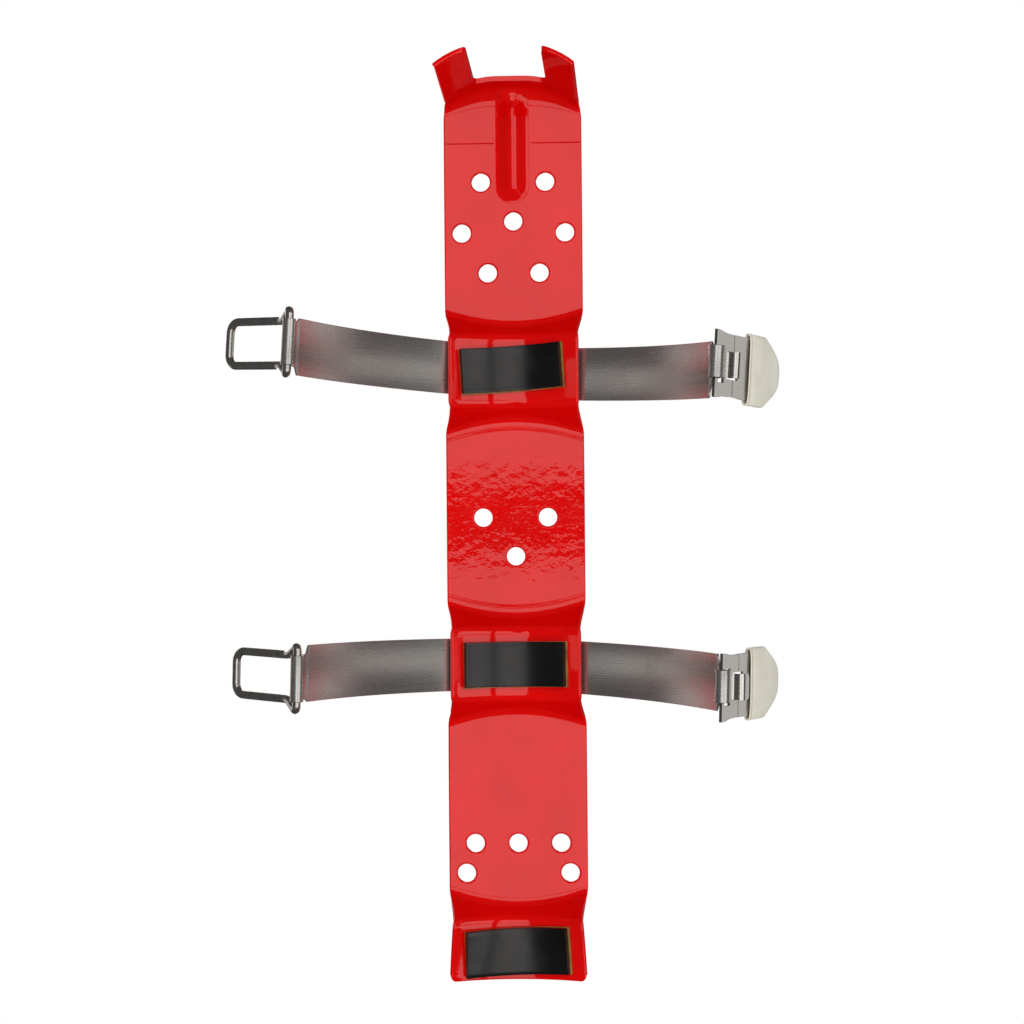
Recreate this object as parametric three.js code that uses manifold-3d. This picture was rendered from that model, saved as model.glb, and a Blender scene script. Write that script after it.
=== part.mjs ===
// A heavy-duty wall bracket for a fire extinguisher with a 127 mm (5 in) cylinder.
// Millimetres. x runs to the right, z runs up the back plate, y = 0 is the wall and the
// extinguisher stands at negative y. "Depth" below is the distance from the wall, -y.
// Each steel band is one springy strip: it is split into short links so that it can flex.
import * as THREE from "three";
import { mergeVertices } from "three/addons/utils/BufferGeometryUtils.js";
import Module from "manifold-3d";

const wasm = await Module();
wasm.setup();

const DEGREE = Math.PI / 180;

// Back plate
const SHEET = 3; // steel thickness
const HALF_WIDTH = 42.45;
const BOTTOM = -279.5;
const SADDLES = [-88.9, 88.9]; // centre heights of the two cradles that carry bands
const SADDLE_HALF = 21.4; // half the height of a cradle's raised face
const FOOT_SADDLE = -243; // where the bottom cradle's raised face begins
const CRADLE_RADIUS = 66.5; // front face of a cradle
const CRADLE_DEPTH = 81.5; // the extinguisher's axis, from the wall
const FREE_END_RADIUS = 100; // the bottom cradle is flatter at its free end
const SLOPE = 58 * DEGREE;
const TIGHT = 8; // front radius of the bend at the foot of a slope
const LOOSE = 6.6; // front radius of the bend at the top of a slope
const SLOPE_WAIST = 0.9; // how far each edge is drawn in on a slope
const CREST_SCALE = 0.955; // pressing a cradle draws its edges in
const FREE_END_SCALE = 0.985;
const CORNER = 4.3;

// Fork at the top of the back plate
const FORK_START = 250.3;
const FORK_RADIUS = 13.5; // inside the bend
const FORK_ANGLE = 81.4 * DEGREE;
const EAR_LENGTH = 57.5;
const ARCH_FLAT = 8; // half the flat middle of the arched fork
const ARCH_RADIUS = 50;
const BEND_ARCH = 0.4; // part of the ears' arch that the foot of the bend has
const FORK_SKEW = -3.4; // sideways shift of the ears' tips
const NOTCH_HALF = 21.9;
const NOTCH_DEPTH = 20;
const NOTCH_CORNER = 3.5;
const EAR_CORNER = 4.5;

// Stiffening ridge below the fork
const RIDGE_HEIGHT = 6.2;
const RIDGE_HALF = 10.5;
const RIDGE_END = 203; // centre of its round lower end

// Bolt holes, as [x, z]
const HOLE_RADIUS = 5.55;
const HOLES = [
  [-19.8, 206.2],
  [19.8, 206.2],
  [0, 182],
  [-31.75, 174.9],
  [31.75, 174.9],
  [-15.9, 150.2],
  [15.9, 150.2],
  [-19.8, 0],
  [19.8, 0],
  [0, -23.8],
  [-26.2, -199.2],
  [0, -199.2],
  [26.2, -199.2],
  [-31.75, -217.4],
  [31.75, -217.4],
];

// Pads and the adhesive under them
const CLEAR = 0.3; // gap between two pieces that touch
const ADHESIVE = 0.8;
const PAD = 2.8;
const PADS = [
  { name: "upper", across: 65, along: 27, x: -1.75, z: 90, tilt: 3.5 * DEGREE },
  { name: "lower", across: 65, along: 27, x: -0.7, z: -88.9, tilt: 0.1 * DEGREE },
  { name: "bottom", across: 65, along: 28, x: -0.8, z: -261.9, tilt: 2 * DEGREE },
];

// Bands
const BAND = 1.1; // steel thickness
const BAND_WIDTH = 31.75;
const BAND_RADIUS = 71; // inner face behind a cradle
const BAND_WRAP = 37 * DEGREE;
const ARM_RADIUS = 225;
const LINKS = 3; // links in each arm
const LINK_GAP = 0.3;
const BANDS = [
  {
    name: "upper",
    z: 88.5,
    tilt: 3.6 * DEGREE, // right end down
    droop: 0.75 * DEGREE, // both free ends down
    left: 141, // lengths of the two arms
    right: 126,
    curlShift: 1.2, // how far the end pieces sit above the band's middle line
    tabShift: 3.6,
    leverShift: 2.7,
    bailRoot: -114 * DEGREE, // directions of the wire in plan, before and after its bend
    bailArm: -142 * DEGREE,
    lever: -60 * DEGREE,
    boot: 39, // from the lever's pivot to its boot
  },
  {
    name: "lower",
    z: -89.8,
    tilt: 1.6 * DEGREE,
    droop: 0.3 * DEGREE,
    left: 132.5,
    right: 130,
    curlShift: -1.7,
    tabShift: -1,
    leverShift: -1.9,
    bailRoot: -119 * DEGREE,
    bailArm: -142 * DEGREE,
    lever: -62 * DEGREE,
    boot: 35,
  },
];

// Wire bail and the curl that holds it
const WIRE = 4.76;
const BAIL_CURL = {
  curlLength: 25.4,
  inner: WIRE / 2 + 0.27,
  turn: 315 * DEGREE,
  notch: 16.5, // the band's full width stops this far short of its end
};
const BAIL_HINGE_HALF = 17.7; // the wire's centre line, as are the four below
const BAIL_ARM_HALF = 12.3;
const BAIL_ROOT = 14;
const BAIL_LENGTH = 56;
const BAIL_NOSE_RADIUS = 6;
const WIRE_SIDES = 10;

// Lever and the tab that holds it
const LEVER = 1.6; // steel thickness
const LEVER_CURL = { curlLength: 17.8, inner: 3.5, turn: 300 * DEGREE, notch: 12.8 };
const LEVER_WIDTH = 37.4;
const LEVER_NECK = 36.2;
const LEVER_LENGTH = 73;
const LEVER_BAR = 1.75; // half the width of the bar inside the curl
const SLOT_END = 9.2;
const SLOT_WIDTH = 20.4;
const HOOK_WIDTH = 14.4;
const HOOK_ROOT = 12;
const HOOK_LENGTH = 7.8;
const HOOK_RISE = 6.7; // from the lever's middle to the tongue's
const HOOK_BEND = 2.2;
const WINDOW_MARGIN = 0.5;
const WINDOW_END = 27; // of the opening that the hook was lanced from

// Rubber boot on the lever's handle
const BOOT_LENGTH = 44.5;
const BOOT_WIDTH = 41;
const BOOT_THICKNESS = 7.5;
const BOOT_MOUTH = 5.2; // its thickness at the open end
const BOOT_FULL = 0.3; // part of its length to full thickness
const BOOT_STRAIGHT = 21;
const BOOT_TAPER = 0.62;

const red = { color: 0xc80a08, roughness: 0.25, metalness: 0.1 };
const rubber = { color: 0x17181a, roughness: 0.55, metalness: 0 };
const glue = { color: 0x7a5a1c, roughness: 0.6, metalness: 0 };
const steel = { color: 0x8b8986, roughness: 0.3, metalness: 1 };
const wire = { color: 0x6d6c68, roughness: 0.32, metalness: 1 };
const boot = { color: 0xc9c8bb, roughness: 0.6, metalness: 0 };

const bracket = new THREE.Group();

// ---- geometry helpers ----

const lerp = THREE.MathUtils.lerp;
const smooth = (a, b, x) => THREE.MathUtils.smoothstep(x, a, b);
const at = (x, depth, z) => new THREE.Vector3(x, -depth, z);

function toSolid(geometry) {
  const bare = geometry.clone();
  bare.deleteAttribute("normal");
  bare.deleteAttribute("uv");
  const merged = mergeVertices(bare, 1e-4);
  return new wasm.Manifold(
    new wasm.Mesh({
      numProp: 3,
      vertProperties: merged.attributes.position.array,
      triVerts: new Uint32Array(merged.index.array),
    }),
  );
}

function toGeometry(solid) {
  const { vertProperties, triVerts } = solid.getMesh();
  const geometry = new THREE.BufferGeometry();
  geometry.setAttribute("position", new THREE.BufferAttribute(vertProperties, 3));
  geometry.setIndex(new THREE.BufferAttribute(triVerts, 1));
  geometry.computeVertexNormals();
  return geometry;
}

function addMesh(name, geometry, look, parent = bracket) {
  const mesh = new THREE.Mesh(geometry, new THREE.MeshStandardMaterial(look));
  mesh.name = name;
  parent.add(mesh);
  return mesh;
}

// A closed body between two grids of points of the same size, front and back.
function slab(front, back) {
  const rows = front.length;
  const columns = front[0].length;
  const positions = [...front, ...back].flat().flatMap((p) => p.toArray());
  const index = [];
  const vertex = (side, i, j) => (side * rows + i) * columns + j;
  const quad = (a, b, c, d) => index.push(a, b, c, a, c, d);
  for (let i = 0; i + 1 < rows; i++) {
    for (let j = 0; j + 1 < columns; j++) {
      quad(vertex(0, i, j), vertex(0, i, j + 1), vertex(0, i + 1, j + 1), vertex(0, i + 1, j));
      quad(vertex(1, i, j), vertex(1, i + 1, j), vertex(1, i + 1, j + 1), vertex(1, i, j + 1));
    }
    const last = columns - 1;
    quad(vertex(0, i, 0), vertex(0, i + 1, 0), vertex(1, i + 1, 0), vertex(1, i, 0));
    quad(vertex(0, i, last), vertex(1, i, last), vertex(1, i + 1, last), vertex(0, i + 1, last));
  }
  for (let j = 0; j + 1 < columns; j++) {
    const last = rows - 1;
    quad(vertex(0, 0, j), vertex(1, 0, j), vertex(1, 0, j + 1), vertex(0, 0, j + 1));
    quad(vertex(0, last, j), vertex(0, last, j + 1), vertex(1, last, j + 1), vertex(1, last, j));
  }
  const geometry = new THREE.BufferGeometry();
  geometry.setAttribute("position", new THREE.Float32BufferAttribute(positions, 3));
  geometry.setIndex(index);
  return geometry;
}

// The front normal of a surface given as a function of two numbers.
function normalOf(surface, u, v) {
  const step = 1e-3;
  const alongU = surface(u + step, v).sub(surface(u - step, v));
  const alongV = surface(u, v + step).sub(surface(u, v - step));
  return alongU.cross(alongV).normalize();
}

// A sheet of even thickness behind a surface, sampled at the given numbers.
function sheetBehind(surface, us, vs, near, far) {
  const grid = (offset) =>
    vs.map((v) => us.map((u) => surface(u, v).addScaledVector(normalOf(surface, u, v), offset)));
  return slab(grid(near), grid(far));
}

// An outline in the plan of the bracket (x, depth), made into a prism from one height to another.
function prism(outline, low, high) {
  const shape = new THREE.Shape(outline.map(([x, depth]) => new THREE.Vector2(x, depth)));
  const geometry = new THREE.ExtrudeGeometry(shape, { depth: high - low, bevelEnabled: false });
  return geometry.translate(0, 0, low).applyMatrix4(new THREE.Matrix4().makeScale(1, -1, 1));
}

// The scale above mirrors the prism, so its faces are turned round again.
function turnedOut(geometry) {
  const turned = geometry.index ? geometry.toNonIndexed() : geometry;
  const p = turned.attributes.position;
  for (let i = 0; i < p.count; i += 3) {
    const a = new THREE.Vector3().fromBufferAttribute(p, i);
    const b = new THREE.Vector3().fromBufferAttribute(p, i + 1);
    p.setXYZ(i, b.x, b.y, b.z);
    p.setXYZ(i + 1, a.x, a.y, a.z);
  }
  return turned;
}

const prismSolid = (outline, low, high) => toSolid(turnedOut(prism(outline, low, high)));

function arcPoints(centre, radius, from, to, steps) {
  return Array.from({ length: steps + 1 }, (_, i) => {
    const angle = lerp(from, to, i / steps);
    return [centre[0] + radius * Math.cos(angle), centre[1] + radius * Math.sin(angle)];
  });
}

// ---- back plate ----

// The fork's arch across its width: flat in the middle, then round on both sides.
function arch(u) {
  const angle = Math.max(0, Math.abs(u) - ARCH_FLAT) / ARCH_RADIUS;
  const flat = Math.min(Math.abs(u), ARCH_FLAT);
  return {
    x: Math.sign(u) * (flat + ARCH_RADIUS * Math.sin(angle)),
    drop: ARCH_RADIUS * (1 - Math.cos(angle)),
  };
}

// The crest of a cradle: its depth, and the x of a point that lies u from the middle on the flat.
function crest(u, radius) {
  const bottomDepth = CRADLE_DEPTH - CRADLE_RADIUS;
  return { x: radius * Math.sin(u / radius), depth: bottomDepth + radius * (1 - Math.cos(u / radius)) };
}

// One side of a cradle seen from the side: a tight bend, a slope and a loose bend, between the
// flat at depth SHEET and the crest. t runs from 0 at the flat to 3 at the crest, and the answer
// is the distance back from the crest's edge line and the depth.
function flank(t, crestDepth) {
  const run = (crestDepth - SHEET) / Math.tan(SLOPE);
  const tightCut = TIGHT * Math.tan(SLOPE / 2);
  const looseCut = LOOSE * Math.tan(SLOPE / 2);
  if (t <= 1) {
    const angle = t * SLOPE;
    return {
      back: run + tightCut - TIGHT * Math.sin(angle),
      depth: SHEET + TIGHT * (1 - Math.cos(angle)),
    };
  }
  if (t >= 2) {
    const angle = (3 - t) * SLOPE;
    return {
      back: -looseCut + LOOSE * Math.sin(angle),
      depth: crestDepth - LOOSE * (1 - Math.cos(angle)),
    };
  }
  const low = flank(1, crestDepth);
  const high = flank(2, crestDepth);
  return { back: lerp(low.back, high.back, t - 1), depth: lerp(low.depth, high.depth, t - 1) };
}

// How far in front of the sheet the ridge stands, at distance r from its middle line.
function ridgeBump(r) {
  return r < RIDGE_HALF ? (RIDGE_HEIGHT / 2) * (1 + Math.cos((Math.PI * r) / RIDGE_HALF)) : 0;
}

// The plate's front face. v counts its sections from the bottom up, and u is the distance from
// the middle line along the sheet.
const SECTION = {
  footCrest: 0,
  footFlank: 1,
  bottomFlat: 4,
  lowerFlank: 5,
  lowerCrest: 8,
  lowerTop: 9,
  middleFlat: 12,
  upperFlank: 13,
  upperCrest: 16,
  upperTop: 17,
  topFlat: 20,
  forkBend: 21,
  ears: 22,
  end: 23,
};

function onFlank(u, t, edgeZ, direction, radius = CRADLE_RADIUS) {
  const top = crest(CREST_SCALE * u, radius);
  const { back, depth } = flank(t, top.depth);
  const part = (depth - SHEET) / (top.depth - SHEET);
  const waist = SLOPE_WAIST * 4 * part * (1 - part) * (u / HALF_WIDTH);
  return { x: lerp(u, top.x, part) - waist, depth, z: edgeZ + direction * back };
}

function onCrest(u, z, radius = CRADLE_RADIUS, scale = CREST_SCALE) {
  const top = crest(scale * u, radius);
  return { x: top.x, depth: top.depth, z };
}

function onFlat(u, t, from, to) {
  return { x: u, depth: SHEET, z: lerp(from.z, to.z, t) };
}

// The sideways shift of the fork at a given depth.
const forkLean = (depth) => (FORK_SKEW * (depth - SHEET)) / (FORK_RADIUS + EAR_LENGTH);

function onFork(u, angle, beyond) {
  const depth = SHEET + FORK_RADIUS * (1 - Math.cos(angle)) + beyond * Math.sin(angle);
  const drop = arch(u).drop * lerp(BEND_ARCH, 1, angle / FORK_ANGLE);
  const z = FORK_START - drop + FORK_RADIUS * Math.sin(angle) + beyond * Math.cos(angle);
  const across = lerp(u, arch(u).x, angle / FORK_ANGLE);
  return { x: across + forkLean(depth), depth, z };
}

function plainPlate(u, v) {
  const S = SECTION;
  const looseCut = LOOSE * Math.tan(SLOPE / 2);
  const [lower, upper] = SADDLES;
  if (v < S.footFlank) {
    const part = Math.max(0, v);
    const radius = lerp(FREE_END_RADIUS, CRADLE_RADIUS, part);
    const scale = lerp(FREE_END_SCALE, CREST_SCALE, part);
    return onCrest(u, lerp(BOTTOM, FOOT_SADDLE - looseCut, v), radius, scale);
  }
  if (v < S.bottomFlat) return onFlank(u, S.bottomFlat - v, FOOT_SADDLE, 1);
  if (v < S.lowerFlank) {
    return onFlat(u, v - S.bottomFlat, onFlank(u, 0, FOOT_SADDLE, 1), onFlank(u, 0, lower - SADDLE_HALF, -1));
  }
  if (v < S.lowerCrest) return onFlank(u, v - S.lowerFlank, lower - SADDLE_HALF, -1);
  const crestHalf = SADDLE_HALF - looseCut;
  if (v < S.lowerTop) return onCrest(u, lower + lerp(-crestHalf, crestHalf, v - S.lowerCrest));
  if (v < S.middleFlat) return onFlank(u, S.middleFlat - v, lower + SADDLE_HALF, 1);
  if (v < S.upperFlank) {
    const from = onFlank(u, 0, lower + SADDLE_HALF, 1);
    return onFlat(u, v - S.middleFlat, from, onFlank(u, 0, upper - SADDLE_HALF, -1));
  }
  if (v < S.upperCrest) return onFlank(u, v - S.upperFlank, upper - SADDLE_HALF, -1);
  if (v < S.upperTop) return onCrest(u, upper + lerp(-crestHalf, crestHalf, v - S.upperCrest));
  if (v < S.topFlat) return onFlank(u, S.topFlat - v, upper + SADDLE_HALF, 1);
  if (v < S.forkBend) {
    return onFlat(u, v - S.topFlat, onFlank(u, 0, upper + SADDLE_HALF, 1), onFork(u, 0, 0));
  }
  if (v < S.ears) return onFork(u, (v - S.forkBend) * FORK_ANGLE, 0);
  return onFork(u, FORK_ANGLE, (v - S.ears) * EAR_LENGTH);
}

function plainPoint(u, v) {
  const { x, depth, z } = plainPlate(u, v);
  return at(x, depth, z);
}

// The plate with its ridge, which fades out where the fork's bend ends.
function plateFront(u, v) {
  const point = plainPoint(u, v);
  if (v < SECTION.topFlat) return point;
  const below = Math.max(0, RIDGE_END - point.z);
  const fade = 1 - smooth(SECTION.forkBend + 0.55, SECTION.ears + 0.12, v);
  return point.addScaledVector(normalOf(plainPoint, u, v), fade * ridgeBump(Math.hypot(u, below)));
}

// Numbers from a to b in even steps, without b.
const steps = (a, b, count) => Array.from({ length: count }, (_, i) => lerp(a, b, i / count));

function plateRows() {
  const S = SECTION;
  const bend = 3;
  const flankRows = (from) => [
    ...steps(from, from + 1, bend),
    ...steps(from + 1, from + 2, 1),
    ...steps(from + 2, from + 3, bend),
  ];
  return [
    ...steps(S.footCrest, S.footFlank, 3),
    ...flankRows(S.footFlank),
    ...steps(S.bottomFlat, S.lowerFlank, 1),
    ...flankRows(S.lowerFlank),
    ...steps(S.lowerCrest, S.lowerTop, 1),
    ...flankRows(S.lowerTop),
    ...steps(S.middleFlat, S.upperFlank, 1),
    ...flankRows(S.upperFlank),
    ...steps(S.upperCrest, S.upperTop, 1),
    ...flankRows(S.upperTop),
    ...steps(S.topFlat, S.topFlat + 0.5, 1),
    ...steps(S.topFlat + 0.5, S.topFlat + 0.7, 8),
    ...steps(S.topFlat + 0.7, S.forkBend, 2),
    ...steps(S.forkBend, S.ears, 8),
    ...steps(S.ears, S.end, 3),
    S.end,
  ];
}

function plateColumns() {
  const half = [0, 2.2, 4.4, 6.6, 8.8, 11, 16, 21.5, 27, 32.5, 37.5, HALF_WIDTH];
  return [...half.slice(1).reverse().map((u) => -u), ...half];
}

function boltHole([x, z]) {
  const drill = new THREE.CylinderGeometry(HOLE_RADIUS, HOLE_RADIUS, 4 * SHEET, 20);
  return toSolid(drill.translate(x, 0, z));
}

// The notch between the ears, leaning with them.
// How far the ears' tips stand in front of the wall.
const EAR_END = SHEET + FORK_RADIUS * (1 - Math.cos(FORK_ANGLE)) + EAR_LENGTH * Math.sin(FORK_ANGLE);

function forkNotch() {
  const reach = 90;
  const corner = (side) => {
    const x = side * (NOTCH_HALF - NOTCH_CORNER) + forkLean(NOTCH_DEPTH);
    const points = arcPoints([x, NOTCH_DEPTH + NOTCH_CORNER], NOTCH_CORNER, -Math.PI / 2, 0, 4);
    return side > 0 ? points : points.map(([px, depth]) => [2 * x - px, depth]).reverse();
  };
  const tip = (side) => {
    const end = EAR_END - EAR_CORNER;
    const x = side * NOTCH_HALF + forkLean(end);
    const points = arcPoints([x + side * EAR_CORNER, end], EAR_CORNER, Math.PI / 2, Math.PI, 4);
    const turned = points.map(([px, depth]) => (side > 0 ? [px, depth] : [2 * (x - EAR_CORNER) - px, depth]));
    return side > 0 ? turned.reverse() : turned;
  };
  const outer = NOTCH_HALF + EAR_CORNER;
  const outline = [
    ...corner(-1),
    ...corner(1),
    ...tip(1),
    [outer + forkLean(reach), reach],
    [-outer + forkLean(reach), reach],
    ...tip(-1),
  ];
  return prismSolid(outline, FORK_START - 30, FORK_START + 50);
}

// What is cut off to round one of the plate's two bottom corners.
function bottomCorner(side) {
  const edge = crest(FREE_END_SCALE * HALF_WIDTH, FREE_END_RADIUS).x + 0.2;
  const shape = new THREE.Shape();
  const centre = { x: edge - CORNER, z: BOTTOM + CORNER };
  shape.moveTo(edge + 2, BOTTOM - 2);
  shape.lineTo(edge + 2, centre.z);
  shape.lineTo(edge, centre.z);
  shape.absarc(centre.x, centre.z, CORNER, 0, -Math.PI / 2, true);
  shape.lineTo(centre.x, BOTTOM - 2);
  const depth = 60;
  const block = new THREE.ExtrudeGeometry(shape, { depth, bevelEnabled: false, curveSegments: 5 });
  block.rotateX(Math.PI / 2);
  if (side < 0) block.rotateZ(Math.PI).translate(0, -depth, 0);
  return toSolid(block);
}

function backPlate() {
  let plate = toSolid(sheetBehind(plateFront, plateColumns(), plateRows(), 0, -SHEET));
  for (const hole of HOLES) plate = plate.subtract(boltHole(hole));
  plate = plate.subtract(forkNotch());
  for (const side of [-1, 1]) plate = plate.subtract(bottomCorner(side));
  return toGeometry(plate);
}

addMesh("back_plate", backPlate(), red);

// ---- pads ----

// The front face of the cradle at height z, carried on past its ends.
function cradleFace(z) {
  const end = FOOT_SADDLE - LOOSE * Math.tan(SLOPE / 2);
  return (u, w) => {
    const height = z + w;
    const part = z > FOOT_SADDLE ? 1 : (height - BOTTOM) / (end - BOTTOM);
    const radius = lerp(FREE_END_RADIUS, CRADLE_RADIUS, part);
    const top = crest(u, radius);
    return at(top.x, top.depth, height);
  };
}

function onCradle({ across, along, x, z, tilt }, near, far) {
  const face = cradleFace(z);
  const turned = (a, b) => {
    const u = x + a * Math.cos(tilt) - b * Math.sin(tilt);
    return face(u, a * Math.sin(tilt) + b * Math.cos(tilt));
  };
  const us = [...steps(-across / 2, across / 2, 16), across / 2];
  const vs = [...steps(-along / 2, along / 2, 2), along / 2];
  return sheetBehind(turned, us, vs, far, near);
}

for (const pad of PADS) {
  const edge = 0.6; // how far the adhesive shows past the pad
  const glued = { ...pad, across: pad.across + edge, along: pad.along + edge, x: pad.x + edge };
  addMesh("adhesive_" + pad.name, onCradle(glued, CLEAR, CLEAR + ADHESIVE), glue);
  addMesh("pad_" + pad.name, onCradle(pad, 2 * CLEAR + ADHESIVE, 2 * CLEAR + ADHESIVE + PAD), rubber);
}

// ---- bands ----

// A point of a band's inner face in the plan of the bracket, s along the arm from where the band
// leaves the cradle, with the direction of the arm there. side is 1 on the right, -1 on the left.
function armPoint(side, s) {
  const heading = BAND_WRAP + s / ARM_RADIUS;
  const start = [BAND_RADIUS * Math.sin(BAND_WRAP), CRADLE_DEPTH - BAND_RADIUS * Math.cos(BAND_WRAP)];
  const x = start[0] + ARM_RADIUS * (Math.sin(heading) - Math.sin(BAND_WRAP));
  const depth = start[1] + ARM_RADIUS * (Math.cos(BAND_WRAP) - Math.cos(heading));
  return { x: side * x, depth, heading, outX: side * Math.sin(heading), outDepth: -Math.cos(heading) };
}

const stripOutline = (points) => [
  ...points.map((p) => [p.x, p.depth]),
  ...points.map((p) => [p.x + p.outX * BAND, p.depth + p.outDepth * BAND]).reverse(),
];

function faceAnticlockwise(outline) {
  const area = THREE.ShapeUtils.area(outline.map(([x, y]) => ({ x, y })));
  return area < 0 ? [...outline].reverse() : outline;
}

const armOutline = (side, from, to, count) =>
  faceAnticlockwise(stripOutline([...steps(from, to, count), to].map((s) => armPoint(side, s))));

function centreOutline() {
  const half = BAND_WRAP - LINK_GAP / 2 / BAND_RADIUS;
  const points = [...steps(-half, half, 14), half].map((angle) => ({
    x: BAND_RADIUS * Math.sin(angle),
    depth: CRADLE_DEPTH - BAND_RADIUS * Math.cos(angle),
    outX: Math.sin(angle),
    outDepth: -Math.cos(angle),
  }));
  return faceAnticlockwise(stripOutline(points));
}

// The centre of a curl rolled inwards at the end of an arm: the band's outer face is its tangent.
function curlCentre(side, length, inner) {
  const end = armPoint(side, length);
  return [end.x - end.outX * inner, end.depth - end.outDepth * inner];
}

// The C-shaped outline of such a curl, from the band's end most of the way round.
function curlOutline(side, length, inner, turn) {
  const end = armPoint(side, length);
  const centre = curlCentre(side, length, inner);
  const from = Math.atan2(end.outDepth, end.outX);
  const to = from + side * turn;
  const outer = arcPoints(centre, inner + BAND, from, to, 16);
  return faceAnticlockwise([...arcPoints(centre, inner, from, to, 16), ...outer.reverse()]);
}

// A strip of the arm that ends in a curl of the given length along the hinge, shift above the
// band's middle line.
function curledEnd(side, from, length, { curlLength, inner, turn, notch, shift }) {
  const shoulder = length - notch; // the full width stops short of the curl
  const half = BAND_WIDTH / 2;
  const wide = prismSolid(armOutline(side, from, shoulder, 5), -half, half);
  const [low, high] = [shift - curlLength / 2, shift + curlLength / 2];
  const narrow = prismSolid(armOutline(side, shoulder - 1, length + 0.02, 3), low, high);
  const curl = prismSolid(curlOutline(side, length, inner, turn), low, high);
  return wide.add(narrow).add(curl);
}

function addArm(group, name, side, length, end) {
  const hand = side < 0 ? "left" : "right";
  const link = length / LINKS;
  const half = BAND_WIDTH / 2;
  for (let i = 0; i < LINKS; i++) {
    const from = i * link + LINK_GAP / 2;
    const to = (i + 1) * link - LINK_GAP / 2;
    const isEnd = i === LINKS - 1;
    const solid = isEnd
      ? curledEnd(side, from, length, end)
      : prismSolid(armOutline(side, from, to, 4), -half, half);
    addMesh(`band_${name}_${hand}_${i + 1}`, toGeometry(solid), steel, group);
  }
}

// ---- bail ----

// The flat loop of the wire's centre line, as [distance from the hinge, sideways place].
function bailLoop() {
  const bend = 3.2;
  const quarter = Math.PI / 2;
  const nose = BAIL_LENGTH - BAIL_NOSE_RADIUS;
  const noseSide = BAIL_ARM_HALF - BAIL_NOSE_RADIUS;
  const half = [
    [0, 0],
    [0, BAIL_HINGE_HALF - bend - 2],
    ...arcPoints([bend, BAIL_HINGE_HALF - bend], bend, 2 * quarter, quarter + 0.45, 4),
    [BAIL_ROOT * 0.75, BAIL_ARM_HALF + 1],
    [BAIL_ROOT, BAIL_ARM_HALF],
    [BAIL_ROOT * 1.25, BAIL_ARM_HALF],
    [BAIL_ROOT * 1.5, BAIL_ARM_HALF],
    [nose - 8, BAIL_ARM_HALF],
    ...arcPoints([nose, noseSide], BAIL_NOSE_RADIUS, quarter, 0, 5),
    [BAIL_LENGTH, 0],
  ];
  const back = half.slice(1, -1).reverse().map(([a, w]) => [a, -w]);
  return [...half, ...back];
}

// Where a point of the flat loop lies in plan once the loop is bent at its root.
function bailProfile(a, hinge, { bailRoot, bailArm }) {
  const soft = 5; // the bend is spread over this length on each side
  const angleAt = (b) => lerp(bailRoot, bailArm, smooth(BAIL_ROOT - soft, BAIL_ROOT + soft, b));
  const count = 40;
  let [x, depth] = hinge;
  for (let i = 0; i < count; i++) {
    const angle = angleAt(((i + 0.5) / count) * a);
    x += (Math.cos(angle) * a) / count;
    depth += (Math.sin(angle) * a) / count;
  }
  const angle = angleAt(a);
  return { x, depth, normal: at(-Math.sin(angle), Math.cos(angle), 0) };
}

function bailGeometry(hinge, band) {
  const loop = bailLoop();
  const centres = loop.map(([a, w]) => {
    const { x, depth, normal } = bailProfile(a, hinge, band);
    return { point: at(x, depth, w + band.curlShift), normal };
  });
  const positions = [];
  const index = [];
  centres.forEach(({ point, normal }, i) => {
    const before = centres[(i + centres.length - 1) % centres.length].point;
    const after = centres[(i + 1) % centres.length].point;
    const tangent = after.clone().sub(before).normalize();
    const side = tangent.clone().cross(normal).normalize();
    const up = side.clone().cross(tangent).normalize();
    const next = ((i + 1) % centres.length) * WIRE_SIDES;
    for (let k = 0; k < WIRE_SIDES; k++) {
      const angle = (2 * Math.PI * (k + 0.5)) / WIRE_SIDES;
      const p = point
        .clone()
        .addScaledVector(side, (WIRE / 2) * Math.cos(angle))
        .addScaledVector(up, (WIRE / 2) * Math.sin(angle));
      positions.push(...p.toArray());
      const a = i * WIRE_SIDES + k;
      const b = i * WIRE_SIDES + ((k + 1) % WIRE_SIDES);
      const c = next + ((k + 1) % WIRE_SIDES);
      const d = next + k;
      index.push(a, c, b, a, d, c);
    }
  });
  const geometry = new THREE.BufferGeometry();
  geometry.setAttribute("position", new THREE.Float32BufferAttribute(positions, 3));
  geometry.setIndex(index);
  return geometry;
}

// ---- lever and boot, drawn lying flat: x from the pivot to the handle, z across, y up ----

function leverOutline() {
  const wide = LEVER_WIDTH / 2;
  const neck = LEVER_NECK / 2;
  const handle = neck - 3;
  const side = [
    [-LEVER_BAR, wide],
    [4, wide - 0.2],
    [9, wide - 1.2],
    [13, neck + 0.3],
    [17, neck],
    [52, neck],
    [62, handle],
    [LEVER_LENGTH, handle - 8],
  ];
  return [...side, ...side.map(([a, w]) => [a, -w]).reverse()];
}

function flatPlate(outline, bottom, top) {
  const shape = new THREE.Shape(outline.map(([a, w]) => new THREE.Vector2(a, w)));
  const geometry = new THREE.ExtrudeGeometry(shape, { depth: top - bottom, bevelEnabled: false });
  return toSolid(geometry.translate(0, 0, bottom).rotateX(-Math.PI / 2));
}

const rectangle = (a0, a1, half) => faceAnticlockwise([[a0, -half], [a1, -half], [a1, half], [a0, half]]);

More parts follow.
